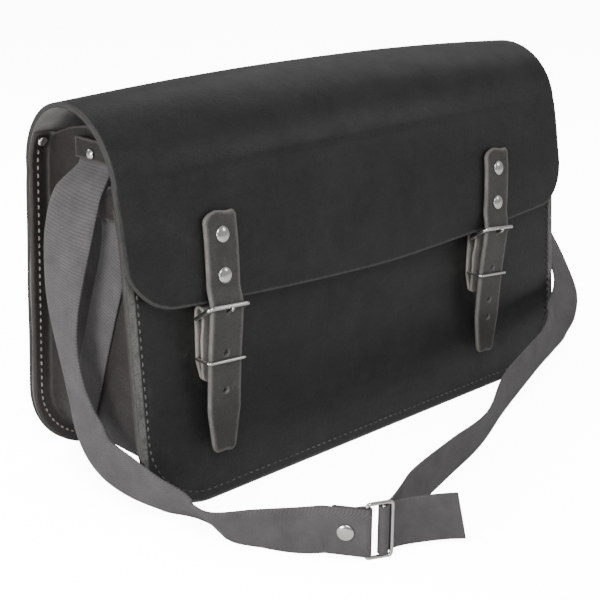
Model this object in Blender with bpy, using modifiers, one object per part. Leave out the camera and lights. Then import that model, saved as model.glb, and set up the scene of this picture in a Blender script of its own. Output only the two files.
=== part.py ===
"""Leather tool bag: a boxy body with a wrap-over flap, two buckled closures and a webbing shoulder strap.

The bag stands on the floor, z = 0. The origin is the middle of the front panel's lower edge, x runs along
the bag and y from the front towards the back. Lengths are metres.
"""
import bmesh
import bpy
import numpy as np
from math import atan, cos, pi, radians, sin
from mathutils import Vector

# Bag body
BAG_WIDTH = 0.400
BAG_DEPTH = 0.126
BAG_HEIGHT = 0.2445
TOP_BOW = 0.0065
PANEL_LEATHER = 0.003
PANEL_CORNER = 0.051
FRONT_LEAN = 0.080
BACK_LEAN = 0.074
FRONT_TOP = 0.190
CLEARANCE = 0.0003

# Flap
FLAP_DROP = 0.1223
FLAP_OVERHANG = 0.003
FLAP_CORNER = 0.030
FLAP_LEAN = 0.200
FLAP_SMILE = 0.010
FLAP_BULGE = 0.006
FLAP_SETBACK = 0.0008

# Gusset
GUSSET_LEATHER = 0.002
SEAM_WIDTH = 0.0125
SEAM_FOLD = 0.0025
SEAM_GAP = 0.0005

# Closures
CLOSURE_WIDTH = 0.025
CLOSURE_LEATHER = 0.003
HOLE_DIAMETER = 0.0038
USED_HOLE = 0.0032
HOLE_PITCH = 0.024
WIRE = 0.0028
BUCKLE_PLAY = 0.0013
BUCKLE_CORNER = 0.0028
TONGUE_WIRE = 0.0020
KEEPER_WIRE = 0.0020
KEEPER_PLAY = 0.0007
CHAPE_LEATHER = 0.002
CHAPE_SLOT = 0.0052
RIVET_HEAD = 0.010
RIVET_DOME = 0.0018
RIVET_SHANK = 0.003
RIVET_REACH = 0.030
HOLE_REACH = 0.012
SHANK_BORE = RIVET_SHANK + 3 * CLEARANCE
ROUND_STEPS = 10

# Shoulder strap
WEBBING_WIDTH = 0.030
WEBBING_THICKNESS = 0.0017
SLIDER_WIRE = 0.0024
SLIDER_LENGTH = 0.0178
SLIDER_CORNER = 0.0020
SLIDER_BAR = 0.0026
SLIDER_BAR_PLACE = 0.0024
SLIDER_PLAY = 0.0008
FOLD_BACK = 0.020
FOLD_RIVET = 0.0115
WEBBING_SPACING = 0.0075

# Gusset fittings
FITTING_LEATHER = 0.002
STRIP_WIDTH = 0.025
SMALL_HEAD = 0.0065
SMALL_LIFT = 0.0006

HALF_WIDTH = BAG_WIDTH / 2
FLAP_EDGE = BAG_HEIGHT - FLAP_DROP
WALL_X = HALF_WIDTH - SEAM_WIDTH
BASE_TRIM = 0.001

# Places on the gusset: depths as shares of the bag's depth, heights as shares of its height
PATCH_HEIGHTS = (0.863, 0.916)
PATCH_MARGIN = 0.03
ANCHOR_HEIGHT = 0.880
SEAM_RIVET_HEIGHT = 0.882
# Tab: height, depth of its front edge and of its back edge
TAB_SHAPE = ((0.728, 0.192, 0.378), (0.770, 0.192, 0.378), (0.815, 0.192, 0.283))
# Strip sewn under the tab: depth and height of its middle
STRIP_RUN = ((0.286, 0.745), (0.286, 0.675), (0.321, 0.605), (0.425, 0.462), (0.615, 0.188))

# Slider: place as shares of the half width and of the depth, turn of its frame in degrees, direction
# of the folded strap against the frame in degrees
SLIDER_PLACE = (-0.635, -0.962)
SLIDER_TURN = -25.0
FOLD_TURN = 31.0
# Back layer of the fold: share of its length, share of the frame's fold still open
FOLD_CLOSE = ((0.14, 0.78), (0.26, 0.26), (0.36, 0.0), (1.0, 0.0))

# Top edge of the gusset: share of the way from the front fold to the back fold, share of the bag's height
GUSSET_TOP = (
    (0.00, 0.777),
    (0.10, 0.908),
    (0.30, 0.933),
    (0.55, 0.941),
    (0.80, 0.928),
    (1.00, 0.904),
)

# Closure below the flap's edge: height as a share of that edge's height, stand from the front panel as a
# share of the closure's width, sideways drift as a share of each closure's own drift
CLOSURE_RUN = (
    # height, stand, drift
    (1.040, 0.665, 0.58),
    (0.990, 0.660, 0.66),
    (0.900, 0.624, 0.78),
    (0.760, 0.560, 0.93),
    (0.570, 0.472, 1.02),
    (0.410, 0.384, 1.00),
    (0.275, 0.320, 0.97),
)
# Closure on the flap: height as a share of the flap edge's height, drift as before
CLOSURE_ON_FLAP = ((1.485, -0.08), (1.375, 0.02), (1.270, 0.17), (1.180, 0.31), (1.130, 0.40))
RIVET_HEIGHTS = (("upper", 1.375), ("lower", 1.180))
HOLE_START = 0.998
HEEL_BAR_HEIGHT = 0.962
FAR_BAR = (1.043, 0.800)
FRAME_DRIFT = 1.010
KEEPER_HEIGHT = 0.765
CHAPE_END = 0.640
LOOP_RISE = 0.030
LOOP_PLAY = 0.0007
SLOT_RISE = 0.030
SLOT_LENGTH = 0.020
CLOSURE_SPACING = 0.0038
CHAPE_SPACING = 0.0022

# Half width of the closure: distance from its end and half width, both shares of the closure's width
CLOSURE_TOP_SHAPE = ((0.00, 0.30), (0.05, 0.41), (0.16, 0.50))
CLOSURE_TIP_SHAPE = ((0.00, 0.22), (0.06, 0.31), (0.20, 0.37), (1.10, 0.50))
CHAPE_TIP_SHAPE = ((0.00, 0.28), (0.10, 0.38), (0.50, 0.485))

# Each closure: side, centre at the flap's rivets, drift to the tip, tilt of its bars in degrees, extra hole
CLOSURES = (
    ("left", -0.690, 0.0062, 4.5, ()),
    ("right", 0.5925, 0.0125, 6.0, (2.55,)),
)

# Shoulder strap, a row for each bend. along: share of the panels' half width at the height of the
# webbing's upper edge; off: distance beyond it in webbing widths; back: share of the bag's depth behind
# the front panel; low: height of the lowest edge as a share of the bag's height; then the direction
# across the webbing, from its front or upper edge
LEFT_STRAP = (
    # along, off, back, low, across x, y, z
    (-1.00, 0.377, 0.413, 0.908, 0.00, 1.00, 0.00),
    (-1.00, 0.377, 0.413, 0.862, 0.00, 1.00, 0.00),
    (-1.00, 0.350, 0.412, 0.848, -0.05, 1.00, 0.00),
    (-1.00, -0.100, 0.405, 0.786, -0.50, 0.90, 0.05),
    (-1.00, -0.293, 0.417, 0.696, -0.50, 0.85, 0.20),
    (-1.00, -0.300, 0.472, 0.594, -0.30, 0.93, 0.25),
    (-1.00, -0.233, 0.528, 0.508, -0.10, 1.00, 0.18),
    (-1.00, -0.183, 0.542, 0.427, 0.10, 1.00, 0.00),
    (-1.00, -0.133, 0.520, 0.323, 0.20, 0.97, -0.20),
    (-1.00, -0.100, 0.464, 0.226, 0.12, 0.93, -0.32),
    (-1.00, -0.060, 0.393, 0.131, -0.05, 0.84, -0.53),
    (-1.00, -0.070, 0.290, 0.041, 0.02, 0.62, -0.78),
    (-1.00, 0.140, 0.135, 0.0060, 0.36, 0.34, -0.87),
    (-1.00, 0.215, -0.040, 0.0055, 0.62, 0.18, -0.76),
    (-1.00, 0.335, -0.218, 0.0055, 0.66, 0.12, -0.74),
    (-0.925, 0.00, -0.393, 0.0055, 0.56, 0.10, -0.82),
    (-0.860, 0.00, -0.560, 0.0055, 0.30, 0.05, -0.95),
    (-0.790, 0.00, -0.700, 0.006, 0.05, 0.00, -1.00),
)
RIGHT_STRAP = (
    # along, off, back, low, across x, y, z
    (1.00, -0.377, 0.448, 0.908, 0.00, -1.00, 0.00),
    (1.00, -0.377, 0.448, 0.862, 0.00, -1.00, 0.00),
    (1.00, -0.345, 0.447, 0.848, 0.00, -1.00, 0.00),
    (1.00, 0.180, 0.430, 0.765, -0.10, -1.00, 0.10),
    (1.00, 0.500, 0.398, 0.668, -0.25, -0.97, 0.10),
    (1.00, 0.733, 0.355, 0.570, -0.42, -0.90, 0.12),
    (1.00, 0.900, 0.300, 0.474, -0.62, -0.76, 0.20),
    (1.00, 0.950, 0.222, 0.378, -0.83, -0.46, 0.26),
    (1.00, 0.830, 0.125, 0.290, -0.88, -0.05, 0.40),
    (1.00, 0.520, 0.004, 0.205, -0.76, 0.25, 0.56),
    (1.00, 0.040, -0.076, 0.155, -0.75, 0.28, 0.55),
    (0.925, 0.000, -0.125, 0.118, -0.82, 0.12, 0.52),
    (0.865, 0.000, -0.175, 0.100, -0.68, -0.05, 0.72),
    (0.790, 0.000, -0.220, 0.083, -0.38, -0.16, 0.90),
    (0.700, 0.000, -0.265, 0.078, 0.00, -0.12, 0.99),
    (0.580, 0.000, -0.330, 0.073, -0.06, -0.08, 0.99),
    (0.345, 0.000, -0.440, 0.045, -0.12, -0.06, 0.99),
    (0.115, 0.000, -0.590, 0.016, -0.08, -0.26, 0.96),
    (-0.130, 0.000, -0.680, 0.006, 0.00, -0.12, 0.99),
    (-0.375, 0.000, -0.790, 0.006, 0.00, -0.02, 1.00),
)
# Right strap from its last row to the slider, and its free tail: distance along the slider and forward of
# it, as shares of the webbing's width
STRAP_LEAD = ((0.740, -0.703), (0.500, -0.423), (0.350, -0.262), (0.240, -0.185))
STRAP_TAIL = (
    (0.333, -0.115),
    (0.500, -0.150),
    (0.733, -0.160),
    (1.200, -0.135),
    (1.530, -0.090),
    (1.830, -0.010),
)


def blend_cubic(rows, knots, at):
    """Read a smooth curve through rows of numbers, with knots as its parameter, at the places asked."""
    slope = np.gradient(rows, knots, axis=0)
    index = np.clip(np.searchsorted(knots, at, side="right") - 1, 0, len(rows) - 2)
    span = (knots[index + 1] - knots[index])[:, None]
    t = (at - knots[index])[:, None] / span
    return (
        (2 * t**3 - 3 * t**2 + 1) * rows[index]
        + (t**3 - 2 * t**2 + t) * span * slope[index]
        + (3 * t**2 - 2 * t**3) * rows[index + 1]
        + (t**3 - t**2) * span * slope[index + 1]
    )


def smooth_rows(rows, spacing):
    """Smooth curve through rows whose first three values are a point, read off at an even spacing."""
    rows = np.asarray(rows, dtype=float)
    chords = np.linalg.norm(np.diff(rows[:, :3], axis=0), axis=1)
    knots = np.concatenate([[0.0], np.cumsum(np.sqrt(chords))])
    fine = blend_cubic(rows, knots, np.linspace(knots[0], knots[-1], 30 * len(rows)))
    run = path_run(fine)
    even = np.linspace(0.0, run[-1], round(run[-1] / spacing) + 1)
    return np.column_stack([np.interp(even, run, column) for column in fine.T])


def lookup(table, value):
    """Straight-line reading of a two-column table."""
    keys, values = zip(*table)
    return np.interp(value, keys, values)


def path_run(path):
    """Distance along a path at each of its points."""
    steps = np.linalg.norm(np.diff(path[:, :3], axis=0), axis=1)
    return np.concatenate([[0.0], np.cumsum(steps)])


def panel_edge(z):
    """Half width of the panels at a height, with their rounded lower corners."""
    drop = np.clip(PANEL_CORNER - z, 0.0, PANEL_CORNER)
    return HALF_WIDTH - PANEL_CORNER + np.sqrt(PANEL_CORNER**2 - drop**2)


def finish(name, colour, roughness, metallic=0.0):
    """Principled material of one colour."""
    material = bpy.data.materials.new(name)
    material.use_nodes = True
    shader = material.node_tree.nodes["Principled BSDF"]
    shader.inputs["Base Color"].default_value = (*colour, 1.0)
    shader.inputs["Roughness"].default_value = roughness
    shader.inputs["Metallic"].default_value = metallic
    material.diffuse_color = (*colour, 1.0)
    return material


def add_object(name, data, material, group):
    """Put data into the scene as a named object with its own copy of a material."""
    data.name = name
    data.materials.append(material.copy())
    piece = bpy.data.objects.new(name, data)
    group.objects.link(piece)
    return piece


def grid_mesh(name, grid):
    """Open surface through a grid of points. Its outer side is the row direction times the column one."""
    rows, columns = grid.shape[:2]
    corner = (np.arange(rows - 1)[:, None] * columns + np.arange(columns - 1)).ravel()
    faces = np.column_stack([corner, corner + columns, corner + columns + 1, corner + 1])
    mesh = bpy.data.meshes.new(name)
    mesh.from_pydata(grid.reshape(-1, 3).tolist(), [], faces.tolist())
    mesh.shade_smooth()
    return mesh


def sheet(name, grid, thickness, material, group, offset=-1.0, mirrored=False):
    """Leather or webbing: an open grid of points, thickened towards its inner side."""
    piece = add_object(name, grid_mesh(name, grid), material, group)
    if mirrored:
        mirror = piece.modifiers.new("Other half", "MIRROR")
        mirror.merge_threshold = 0.0001
    solid = piece.modifiers.new("Thickness", "SOLIDIFY")
    solid.thickness = thickness
    solid.offset = offset
    solid.use_even_offset = True
    return piece


def wire(name, points, diameter, material, group, closed=False):
    """Round wire along a list of points."""
    curve = bpy.data.curves.new(name, "CURVE")
    curve.dimensions = "3D"
    curve.bevel_depth = diameter / 2
    curve.bevel_resolution = 2
    curve.use_fill_caps = True
    spline = curve.splines.new("POLY")
    spline.points.add(len(points) - 1)
    for place, point in zip(spline.points, points):
        place.co = (*point, 1.0)
    spline.use_cyclic_u = closed
    return add_object(name, curve, material, group)


def rounded_loop(width, height, corner, steps=3):
    """Centre line of a rectangular wire loop with round corners, as points in its own plane."""
    points = []
    for turn, (side_x, side_y) in enumerate(((1, 1), (-1, 1), (-1, -1), (1, -1))):
        for step in range(steps + 1):
            angle = pi / 2 * (turn + step / steps)
            x = side_x * (width / 2 - corner) + corner * cos(angle)
            y = side_y * (height / 2 - corner) + corner * sin(angle)
            points.append((x, y))
    return points


def turned(name, profile, material, group):
    """Round piece turned about its own z axis, from a profile given from top to bottom."""
    mesh = bpy.data.meshes.new(name)
    edges = [(i, i + 1) for i in range(len(profile) - 1)]
    mesh.from_pydata([(radius, 0.0, height) for radius, height in profile], edges, [])
    piece = add_object(name, mesh, material, group)
    screw = piece.modifiers.new("Turn", "SCREW")
    screw.steps = ROUND_STEPS
    screw.render_steps = ROUND_STEPS
    screw.use_merge_vertices = True
    screw.merge_threshold = 0.00001
    return piece


def aim(piece, point, axis):
    """Place a piece at a point with its own z axis along the axis given."""
    piece.location = point
    piece.rotation_euler = Vector(axis).to_track_quat("Z", "Y").to_euler()


def rivet(name, head, stack, point, axis, material, group):
    """Domed rivet through a stack of leather, standing on its outer face at a point."""
    shank = RIVET_SHANK / 2
    under = -stack - 2 * CLEARANCE
    profile = (
        (0.0, RIVET_DOME),
        (head * 0.25, RIVET_DOME * 0.87),
        (head * 0.42, RIVET_DOME * 0.48),
        (head * 0.5, 0.0),
        (shank, 0.0),
        (shank, under),
        (head * 0.40, under),
        (head * 0.36, under - RIVET_DOME * 0.35),
        (0.0, under - RIVET_DOME * 0.45),
    )
    piece = turned(name, profile, material, group)
    aim(piece, Vector(point) + CLEARANCE * Vector(axis).normalized(), axis)
    return piece


def cutter_rod(name, diameter, length, point, axis, group):
    """Round cutter centred on a point, along the axis given."""
    mesh = bpy.data.meshes.new(name)
    rod = bmesh.new()
    bmesh.ops.create_cone(
        rod, cap_ends=True, segments=ROUND_STEPS, radius1=diameter / 2, radius2=diameter / 2, depth=length
    )
    rod.to_mesh(mesh)
    rod.free()
    return hide_cutter(name, mesh, point, axis, group)


def cutter_block(name, size, point, axis, group):
    """Block cutter of the size given, its own z axis along the axis given."""
    mesh = bpy.data.meshes.new(name)
    block = bmesh.new()
    bmesh.ops.create_cube(block, size=1.0)
    bmesh.ops.scale(block, vec=size, verts=block.verts)
    block.to_mesh(mesh)
    block.free()
    return hide_cutter(name, mesh, point, axis, group)


def hide_cutter(name, mesh, point, axis, group):
    """Put a cutter's mesh into the scene, out of the render."""
    cutter = bpy.data.objects.new(name, mesh)
    group.objects.link(cutter)
    aim(cutter, point, axis)
    cutter.hide_render = True
    cutter.display_type = "WIRE"
    return cutter


def cut(piece, cutter):
    """Cut a piece with a cutter."""
    boolean = piece.modifiers.new("Cut " + cutter.name, "BOOLEAN")
    boolean.operation = "DIFFERENCE"
    boolean.object = cutter


class BagShape:
    """Surfaces of the bag: panels, arch and flap, and the inside faces that follow them."""

    def __init__(self):
        lean = FRONT_LEAN + BACK_LEAN
        mouth = BAG_DEPTH - lean * BAG_HEIGHT - FLAP_SETBACK
        self.arch_radius = mouth / (2 - lean)
        self.arch_z = BAG_HEIGHT - self.arch_radius
        self.arch_y = self.back_line(self.arch_z) - self.arch_radius
        self.flap_angle = atan(FLAP_LEAN)
        gap = self.flap_line(0.0) + PANEL_LEATHER / cos(self.flap_angle) + CLEARANCE - self.front_line(0.0)
        self.press_z = min(gap / (FRONT_LEAN - FLAP_LEAN), 0.97 * FRONT_TOP)

    def front_line(self, z):
        """Outer face of the flat part of the front panel."""
        return -PANEL_LEATHER / 2 + FRONT_LEAN * z

    def back_line(self, z):
        """Outer face of the flat part of the back panel."""
        return BAG_DEPTH - PANEL_LEATHER / 2 - BACK_LEAN * z

    def flap_line(self, z):
        """Outer face of the flap at its side edges, below the arch."""
        start_z = self.arch_z + self.arch_radius * sin(self.flap_angle)
        start_y = self.arch_y - self.arch_radius * cos(self.flap_angle)
        return start_y - FLAP_LEAN * (start_z - z)

    def front(self, z, inset=0.0):
        """Front panel's face, or one that lies inset behind it. The flap presses its top inwards."""
        pressed = self.flap_line(z) + PANEL_LEATHER / cos(self.flap_angle) + CLEARANCE
        return np.maximum(self.front_line(z), pressed) + inset

    def back(self, z, inset=0.0):
        """Back panel's face, or one that lies inset before it, also where it bends into the arch."""
        rise = np.clip(z - self.arch_z, 0.0, None)
        reach = np.sqrt(np.clip((self.arch_radius - inset) ** 2 - rise**2, 0.0, None))
        return np.where(z < self.arch_z, self.back_line(z) - inset, self.arch_y + reach)

    def bulge(self, x, z):
        """How far the flap stands forward of its side edges."""
        depth = np.clip((BAG_HEIGHT - z) / (BAG_HEIGHT - FLAP_EDGE), 0.0, 1.1)
        swell = np.sin(pi * 0.83 * depth**0.85)
        return FLAP_BULGE * (1 - (np.abs(x) / (HALF_WIDTH + FLAP_OVERHANG)) ** 4) * swell

    def flap(self, x, z):
        """Outer face of the front flap."""
        return self.flap_line(z) - self.bulge(x, z)


def half_columns(corner):
    """Columns from the middle of a panel to its side, close together round the corner."""
    flat = np.linspace(0.0, HALF_WIDTH - corner, 5)[:-1]
    angle = np.linspace(0.0, pi / 2, 7)
    return np.concatenate([flat, HALF_WIDTH - corner + corner * np.sin(angle)])


def corner_rise(x, corner, half):
    """Height of a rounded lower corner above the straight edge beside it."""
    past = np.clip(x - (half - corner), 0.0, corner)
    return corner - np.sqrt(corner**2 - past**2)


def make_front_panel(shape, material, group):
    """Front panel, from its top edge down."""
    x = half_columns(PANEL_CORNER)
    low = corner_rise(x, PANEL_CORNER, HALF_WIDTH)
    fall = np.array([0.0, 0.35, 0.65, 1.0])[:, None]
    z = shape.press_z + (low - BASE_TRIM - shape.press_z) * fall
    z = np.concatenate([np.broadcast_to([[FRONT_TOP], [(FRONT_TOP + shape.press_z) / 2]], (2, len(x))), z])
    grid = np.stack([np.broadcast_to(x, z.shape), shape.front(z), z], axis=-1)
    return sheet("front_panel", grid, PANEL_LEATHER, material, group, mirrored=True)


def make_back_flap(shape, material, group):
    """Back panel, arch and flap in one sheet, from the back's lower edge round to the flap's edge."""
    x = half_columns(PANEL_CORNER)
    share = x / HALF_WIDTH
    wide = x * (1 + FLAP_OVERHANG / HALF_WIDTH)
    low = corner_rise(x, PANEL_CORNER, HALF_WIDTH)
    edge = FLAP_EDGE + FLAP_SMILE * share**1.5
    edge = edge + corner_rise(wide, FLAP_CORNER, HALF_WIDTH + FLAP_OVERHANG)
    radius_z = shape.arch_radius + TOP_BOW * (1 - share**2)
    rows = []
    for rise in np.linspace(0.0, 1.0, 5)[:-1]:
        z = low - BASE_TRIM + (shape.arch_z - low + BASE_TRIM) * rise
        rows.append(np.stack([x, shape.back_line(z), z], axis=-1))
    for angle in np.linspace(0.0, pi - shape.flap_angle, 15):
        z = shape.arch_z + radius_z * sin(angle)
        y = np.full_like(x, shape.arch_y + shape.arch_radius * cos(angle))
        if angle > pi / 2:
            y = y - shape.bulge(x, z - TOP_BOW * (1 - share**2))
        ramp = min(angle / (pi / 2), 1.0)
        rows.append(np.stack([x + (wide - x) * ramp, y, z], axis=-1))
    start = rows[-1]
    for fall in np.linspace(0.0, 1.0, 7)[1:]:
        z = start[:, 2] + (edge - start[:, 2]) * fall
        rows.append(np.stack([wide, shape.flap(x, z), z], axis=-1))
    return sheet("back_flap", np.array(rows), PANEL_LEATHER, material, group, mirrored=True)


def make_gusset(shape, material, group):
    """Gusset strip: half of the U from the middle of the bottom to one top edge, edges turned outward."""
    corner = PANEL_CORNER - SEAM_WIDTH
    flat_x = np.linspace(0.0, HALF_WIDTH - PANEL_CORNER, 4)[:-1]
    angles = np.linspace(0.0, pi / 2, 7)
    side_low = np.linspace(PANEL_CORNER, shape.press_z, 4)[1:]
    side_high = np.linspace(0.0, 1.0, 5)[1:]
    turn = SEAM_FOLD * (1 - sin(pi / 4))
    # outward distance from the wall, share of the way to the back, distance from that flange's face
    section = [(SEAM_WIDTH, 1.0, 0.0), (SEAM_FOLD, 1.0, 0.0), (turn, 1.0, turn), (0.0, 1.0, SEAM_FOLD)]
    section += [(0.0, share, SEAM_FOLD) for share in (0.80, 0.55, 0.30, 0.10)]
    section += [(0.0, 0.0, SEAM_FOLD), (turn, 0.0, turn), (SEAM_FOLD, 0.0, 0.0), (SEAM_WIDTH, 0.0, 0.0)]
    out, share, inner = (np.array(column) for column in zip(*section))
    inset = PANEL_LEATHER + GUSSET_LEATHER + SEAM_GAP
    tops = lookup(GUSSET_TOP, share) * BAG_HEIGHT
    stations = [(x, np.full_like(out, SEAM_WIDTH), 0.0, -1.0) for x in flat_x]
    for angle in angles:
        x = HALF_WIDTH - PANEL_CORNER + corner * sin(angle)
        z = PANEL_CORNER - corner * cos(angle)
        stations.append((x, np.full_like(out, z), sin(angle), -cos(angle)))
    stations += [(WALL_X, np.full_like(out, z), 1.0, 0.0) for z in side_low]
    stations += [(WALL_X, shape.press_z + (tops - shape.press_z) * rise, 1.0, 0.0) for rise in side_high]
    rows = []
    for x, z, out_x, out_z in stations:
        z = z + out * out_z
        front = shape.front(z, inset) + inner
        back = shape.back(z, inset) - inner
        rows.append(np.stack([x + out * out_x, front + (back - front) * share, z], axis=-1))
    return sheet("gusset", np.array(rows), GUSSET_LEATHER, material, group, mirrored=True)


class Closure:
    """One closure: a strap riveted to the flap, its buckle and keeper, and the chape that holds them."""

    def __init__(self, shape, name, centre, drift, tilt, finishes, group):
        self.shape = shape
        self.name = name
        self.centre = centre * HALF_WIDTH
        self.drift = drift
        self.tilt = radians(tilt)
        self.cross = np.array([cos(self.tilt), 0.0, -sin(self.tilt)])
        self.finishes = finishes
        self.group = group
        self.chape_rest = 1.5 * CLEARANCE + CHAPE_LEATHER / 2
        self.chape_bend = WIRE / 2 + CLEARANCE + CHAPE_LEATHER / 2 + LOOP_PLAY
        self.heel = self.place(HEEL_BAR_HEIGHT, self.chape_rest + self.chape_bend, FRAME_DRIFT)
        self.far = self.place(FAR_BAR[0], FAR_BAR[1] * CLOSURE_WIDTH, FRAME_DRIFT)
        reach = self.far - self.heel
        self.frame_length = np.linalg.norm(reach)
        self.out = reach / self.frame_length
        self.face = np.cross(self.cross, self.out)
        self.tongue_gap = (WIRE + TONGUE_WIRE) / 2 + 1.3 * CLEARANCE
        self.path = self.strap_path()

    def x_at(self, height):
        """Sideways place of the centre at a height, a share of the flap edge's height."""
        rows = [*CLOSURE_ON_FLAP] + [(share, drift) for share, _, drift in CLOSURE_RUN]
        return self.centre - self.drift * lookup(sorted(rows), height)

    def place(self, height, stand, x_height=None):
        """Point at a height, a distance forward of the front panel."""
        z = FLAP_EDGE * height
        return np.array([self.x_at(x_height or height), self.shape.front_line(z) - stand, z])

    def strap_path(self):
        """Centre line of the strap, from its top end on the flap down to its tip."""
        rows = []
        for height, _ in CLOSURE_ON_FLAP:
            x = self.x_at(height)
            z = FLAP_EDGE * height
            lift = (CLOSURE_LEATHER / 2 + 3.5 * CLEARANCE) / cos(self.shape.flap_angle)
            rows.append((x, self.shape.flap(x, z) - lift, z))
        for height, stand, _ in CLOSURE_RUN:
            rows.append(tuple(self.place(height, stand * CLOSURE_WIDTH)))
        return smooth_rows(rows, CLOSURE_SPACING)

    def on_strap(self, z):
        """Centre of the strap at a height and the direction out of its face."""
        upward = self.path[::-1]
        point, above = (
            np.array([np.interp(height, upward[:, 2], upward[:, k]) for k in range(3)])
            for height in (z, z + 0.003)
        )
        return point, Vector(np.cross(self.cross, above - point)).normalized()

    def band(self, path, half):
        """Grid across a path, with a half width for each of its points."""
        side = np.array([-1.0, 1.0])[None, :, None]
        return path[:, None, :] + half[:, None, None] * side * self.cross

    def make_strap(self, flap, extra_holes, cutters):
        """Strap with its punched holes, and the two rivets through it and the flap."""
        run = path_run(self.path)
        half = np.minimum(
            lookup(CLOSURE_TOP_SHAPE, run / CLOSURE_WIDTH),
            lookup(CLOSURE_TIP_SHAPE, (run[-1] - run) / CLOSURE_WIDTH),
        )
        grid = self.band(self.path, half * CLOSURE_WIDTH)
        name = "closure_strap_" + self.name
        strap = sheet(name, grid, CLOSURE_LEATHER, self.finishes["strap"], self.group, offset=0.0)
        for level, height in RIVET_HEIGHTS:
            point, axis = self.on_strap(FLAP_EDGE * height)
            outer = Vector(point) + axis * (CLOSURE_LEATHER / 2)
            stack = CLOSURE_LEATHER + 5 * CLEARANCE + PANEL_LEATHER
            label = f"closure_rivet_{level}_{self.name}"
            rivet(label, RIVET_HEAD, stack, outer, axis, self.finishes["metal"], self.group)
            bore = cutter_rod("bore_" + label, SHANK_BORE, RIVET_REACH, outer, axis, cutters)
            cut(strap, bore)
            cut(flap, bore)
        on_tongue = self.far + self.face * self.tongue_gap - self.out * HOLE_REACH / 2
        label = "hole_used_" + self.name
        cut(strap, cutter_rod(label, USED_HOLE, HOLE_REACH, on_tongue, Vector(self.out), cutters))
        for step in (1, 2, *extra_holes):
            point, axis = self.on_strap(HOLE_START * FLAP_EDGE - HOLE_PITCH * step)
            label = f"hole_{self.name}_{step}"
            cut(strap, cutter_rod(label, HOLE_DIAMETER, HOLE_REACH, point, axis, cutters))

    def make_buckle(self):
        """Wire frame from the heel bar in the chape to the far bar in front of the strap, and tongue."""
        metal = self.finishes["metal"]
        loop = rounded_loop(CLOSURE_WIDTH + 2 * BUCKLE_PLAY + WIRE, self.frame_length, BUCKLE_CORNER)
        middle = (self.heel + self.far) / 2
        points = [middle + self.cross * x + self.out * y for x, y in loop]
        wire("buckle_frame_" + self.name, points, WIRE, metal, self.group, closed=True)
        tongue = []
        for angle in np.radians(np.linspace(-20.0, 180.0, 9)):
            tongue.append(self.heel - self.tongue_gap * (cos(angle) * self.face + sin(angle) * self.out))
        tongue.append(self.heel + self.out * self.frame_length * 0.5 + self.face * self.tongue_gap)
        for angle in np.radians(np.linspace(0.0, 50.0, 4)):
            tongue.append(self.far + self.tongue_gap * (cos(angle) * self.face + sin(angle) * self.out))
        wire("buckle_tongue_" + self.name, tongue, TONGUE_WIRE, metal, self.group)

    def make_keeper(self):
        """Wire loop between the chape's layers and round the strap."""
        gap = KEEPER_WIRE / 2 + 1.5 * CLEARANCE
        back = self.chape_rest + CHAPE_LEATHER / 2 + gap
        point, _ = self.on_strap(KEEPER_HEIGHT * FLAP_EDGE)
        stand = self.shape.front_line(point[2]) - point[1] + CLOSURE_LEATHER / 2 + gap
        middle = self.place(KEEPER_HEIGHT, (back + stand) / 2)
        inside = CLOSURE_WIDTH + 2 * KEEPER_PLAY
        loop = rounded_loop(inside + KEEPER_WIRE, stand - back, KEEPER_WIRE, steps=2)
        points = [middle + self.cross * x - np.array([0.0, y, 0.0]) for x, y in loop]
        metal = self.finishes["metal"]
        wire("strap_keeper_" + self.name, points, KEEPER_WIRE, metal, self.group, closed=True)
        return back + gap + CHAPE_LEATHER / 2

    def make_chape(self, keeper_layer, cutters):
        """Leather folded round the heel bar and the keeper, both ends down on the front panel."""
        rest = self.chape_rest
        bend = self.chape_bend
        close = rest + CHAPE_LEATHER + CLEARANCE
        rows = [(CHAPE_END, rest), (KEEPER_HEIGHT, rest), (HEEL_BAR_HEIGHT - 0.06, rest)]
        for angle in np.linspace(0.0, pi, 9):
            height = HEEL_BAR_HEIGHT + LOOP_RISE + bend * sin(angle) / FLAP_EDGE
            rows.append((height, rest + bend - bend * cos(angle)))
        rows += [
            (HEEL_BAR_HEIGHT - 0.03, rest + 2 * bend - CLEARANCE),
            (HEEL_BAR_HEIGHT - 0.10, (keeper_layer + rest + 2 * bend) / 2 - 2 * CLEARANCE),
            (KEEPER_HEIGHT + 0.01, keeper_layer + CLEARANCE),
            (KEEPER_HEIGHT - 0.045, (keeper_layer + close) / 2 + 2 * CLEARANCE),
            (CHAPE_END + 0.035, close + CLEARANCE),
            (CHAPE_END, close),
        ]
        path = smooth_rows([tuple(self.place(height, stand)) for height, stand in rows], CHAPE_SPACING)
        run = path_run(path)
        from_end = np.minimum(run, run[-1] - run) / CLOSURE_WIDTH
        grid = self.band(path, lookup(CHAPE_TIP_SHAPE, from_end) * CLOSURE_WIDTH)[:, ::-1]
        name = "chape_" + self.name
        chape = sheet(name, grid, CHAPE_LEATHER, self.finishes["chape"], self.group, offset=0.0)
        slot = self.place(HEEL_BAR_HEIGHT + SLOT_RISE, rest + bend)
        size = (CHAPE_SLOT, SLOT_LENGTH, 4 * bend)
        cut(chape, cutter_block("slot_" + self.name, size, slot, (0.0, -1.0, 0.0), cutters))


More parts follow.
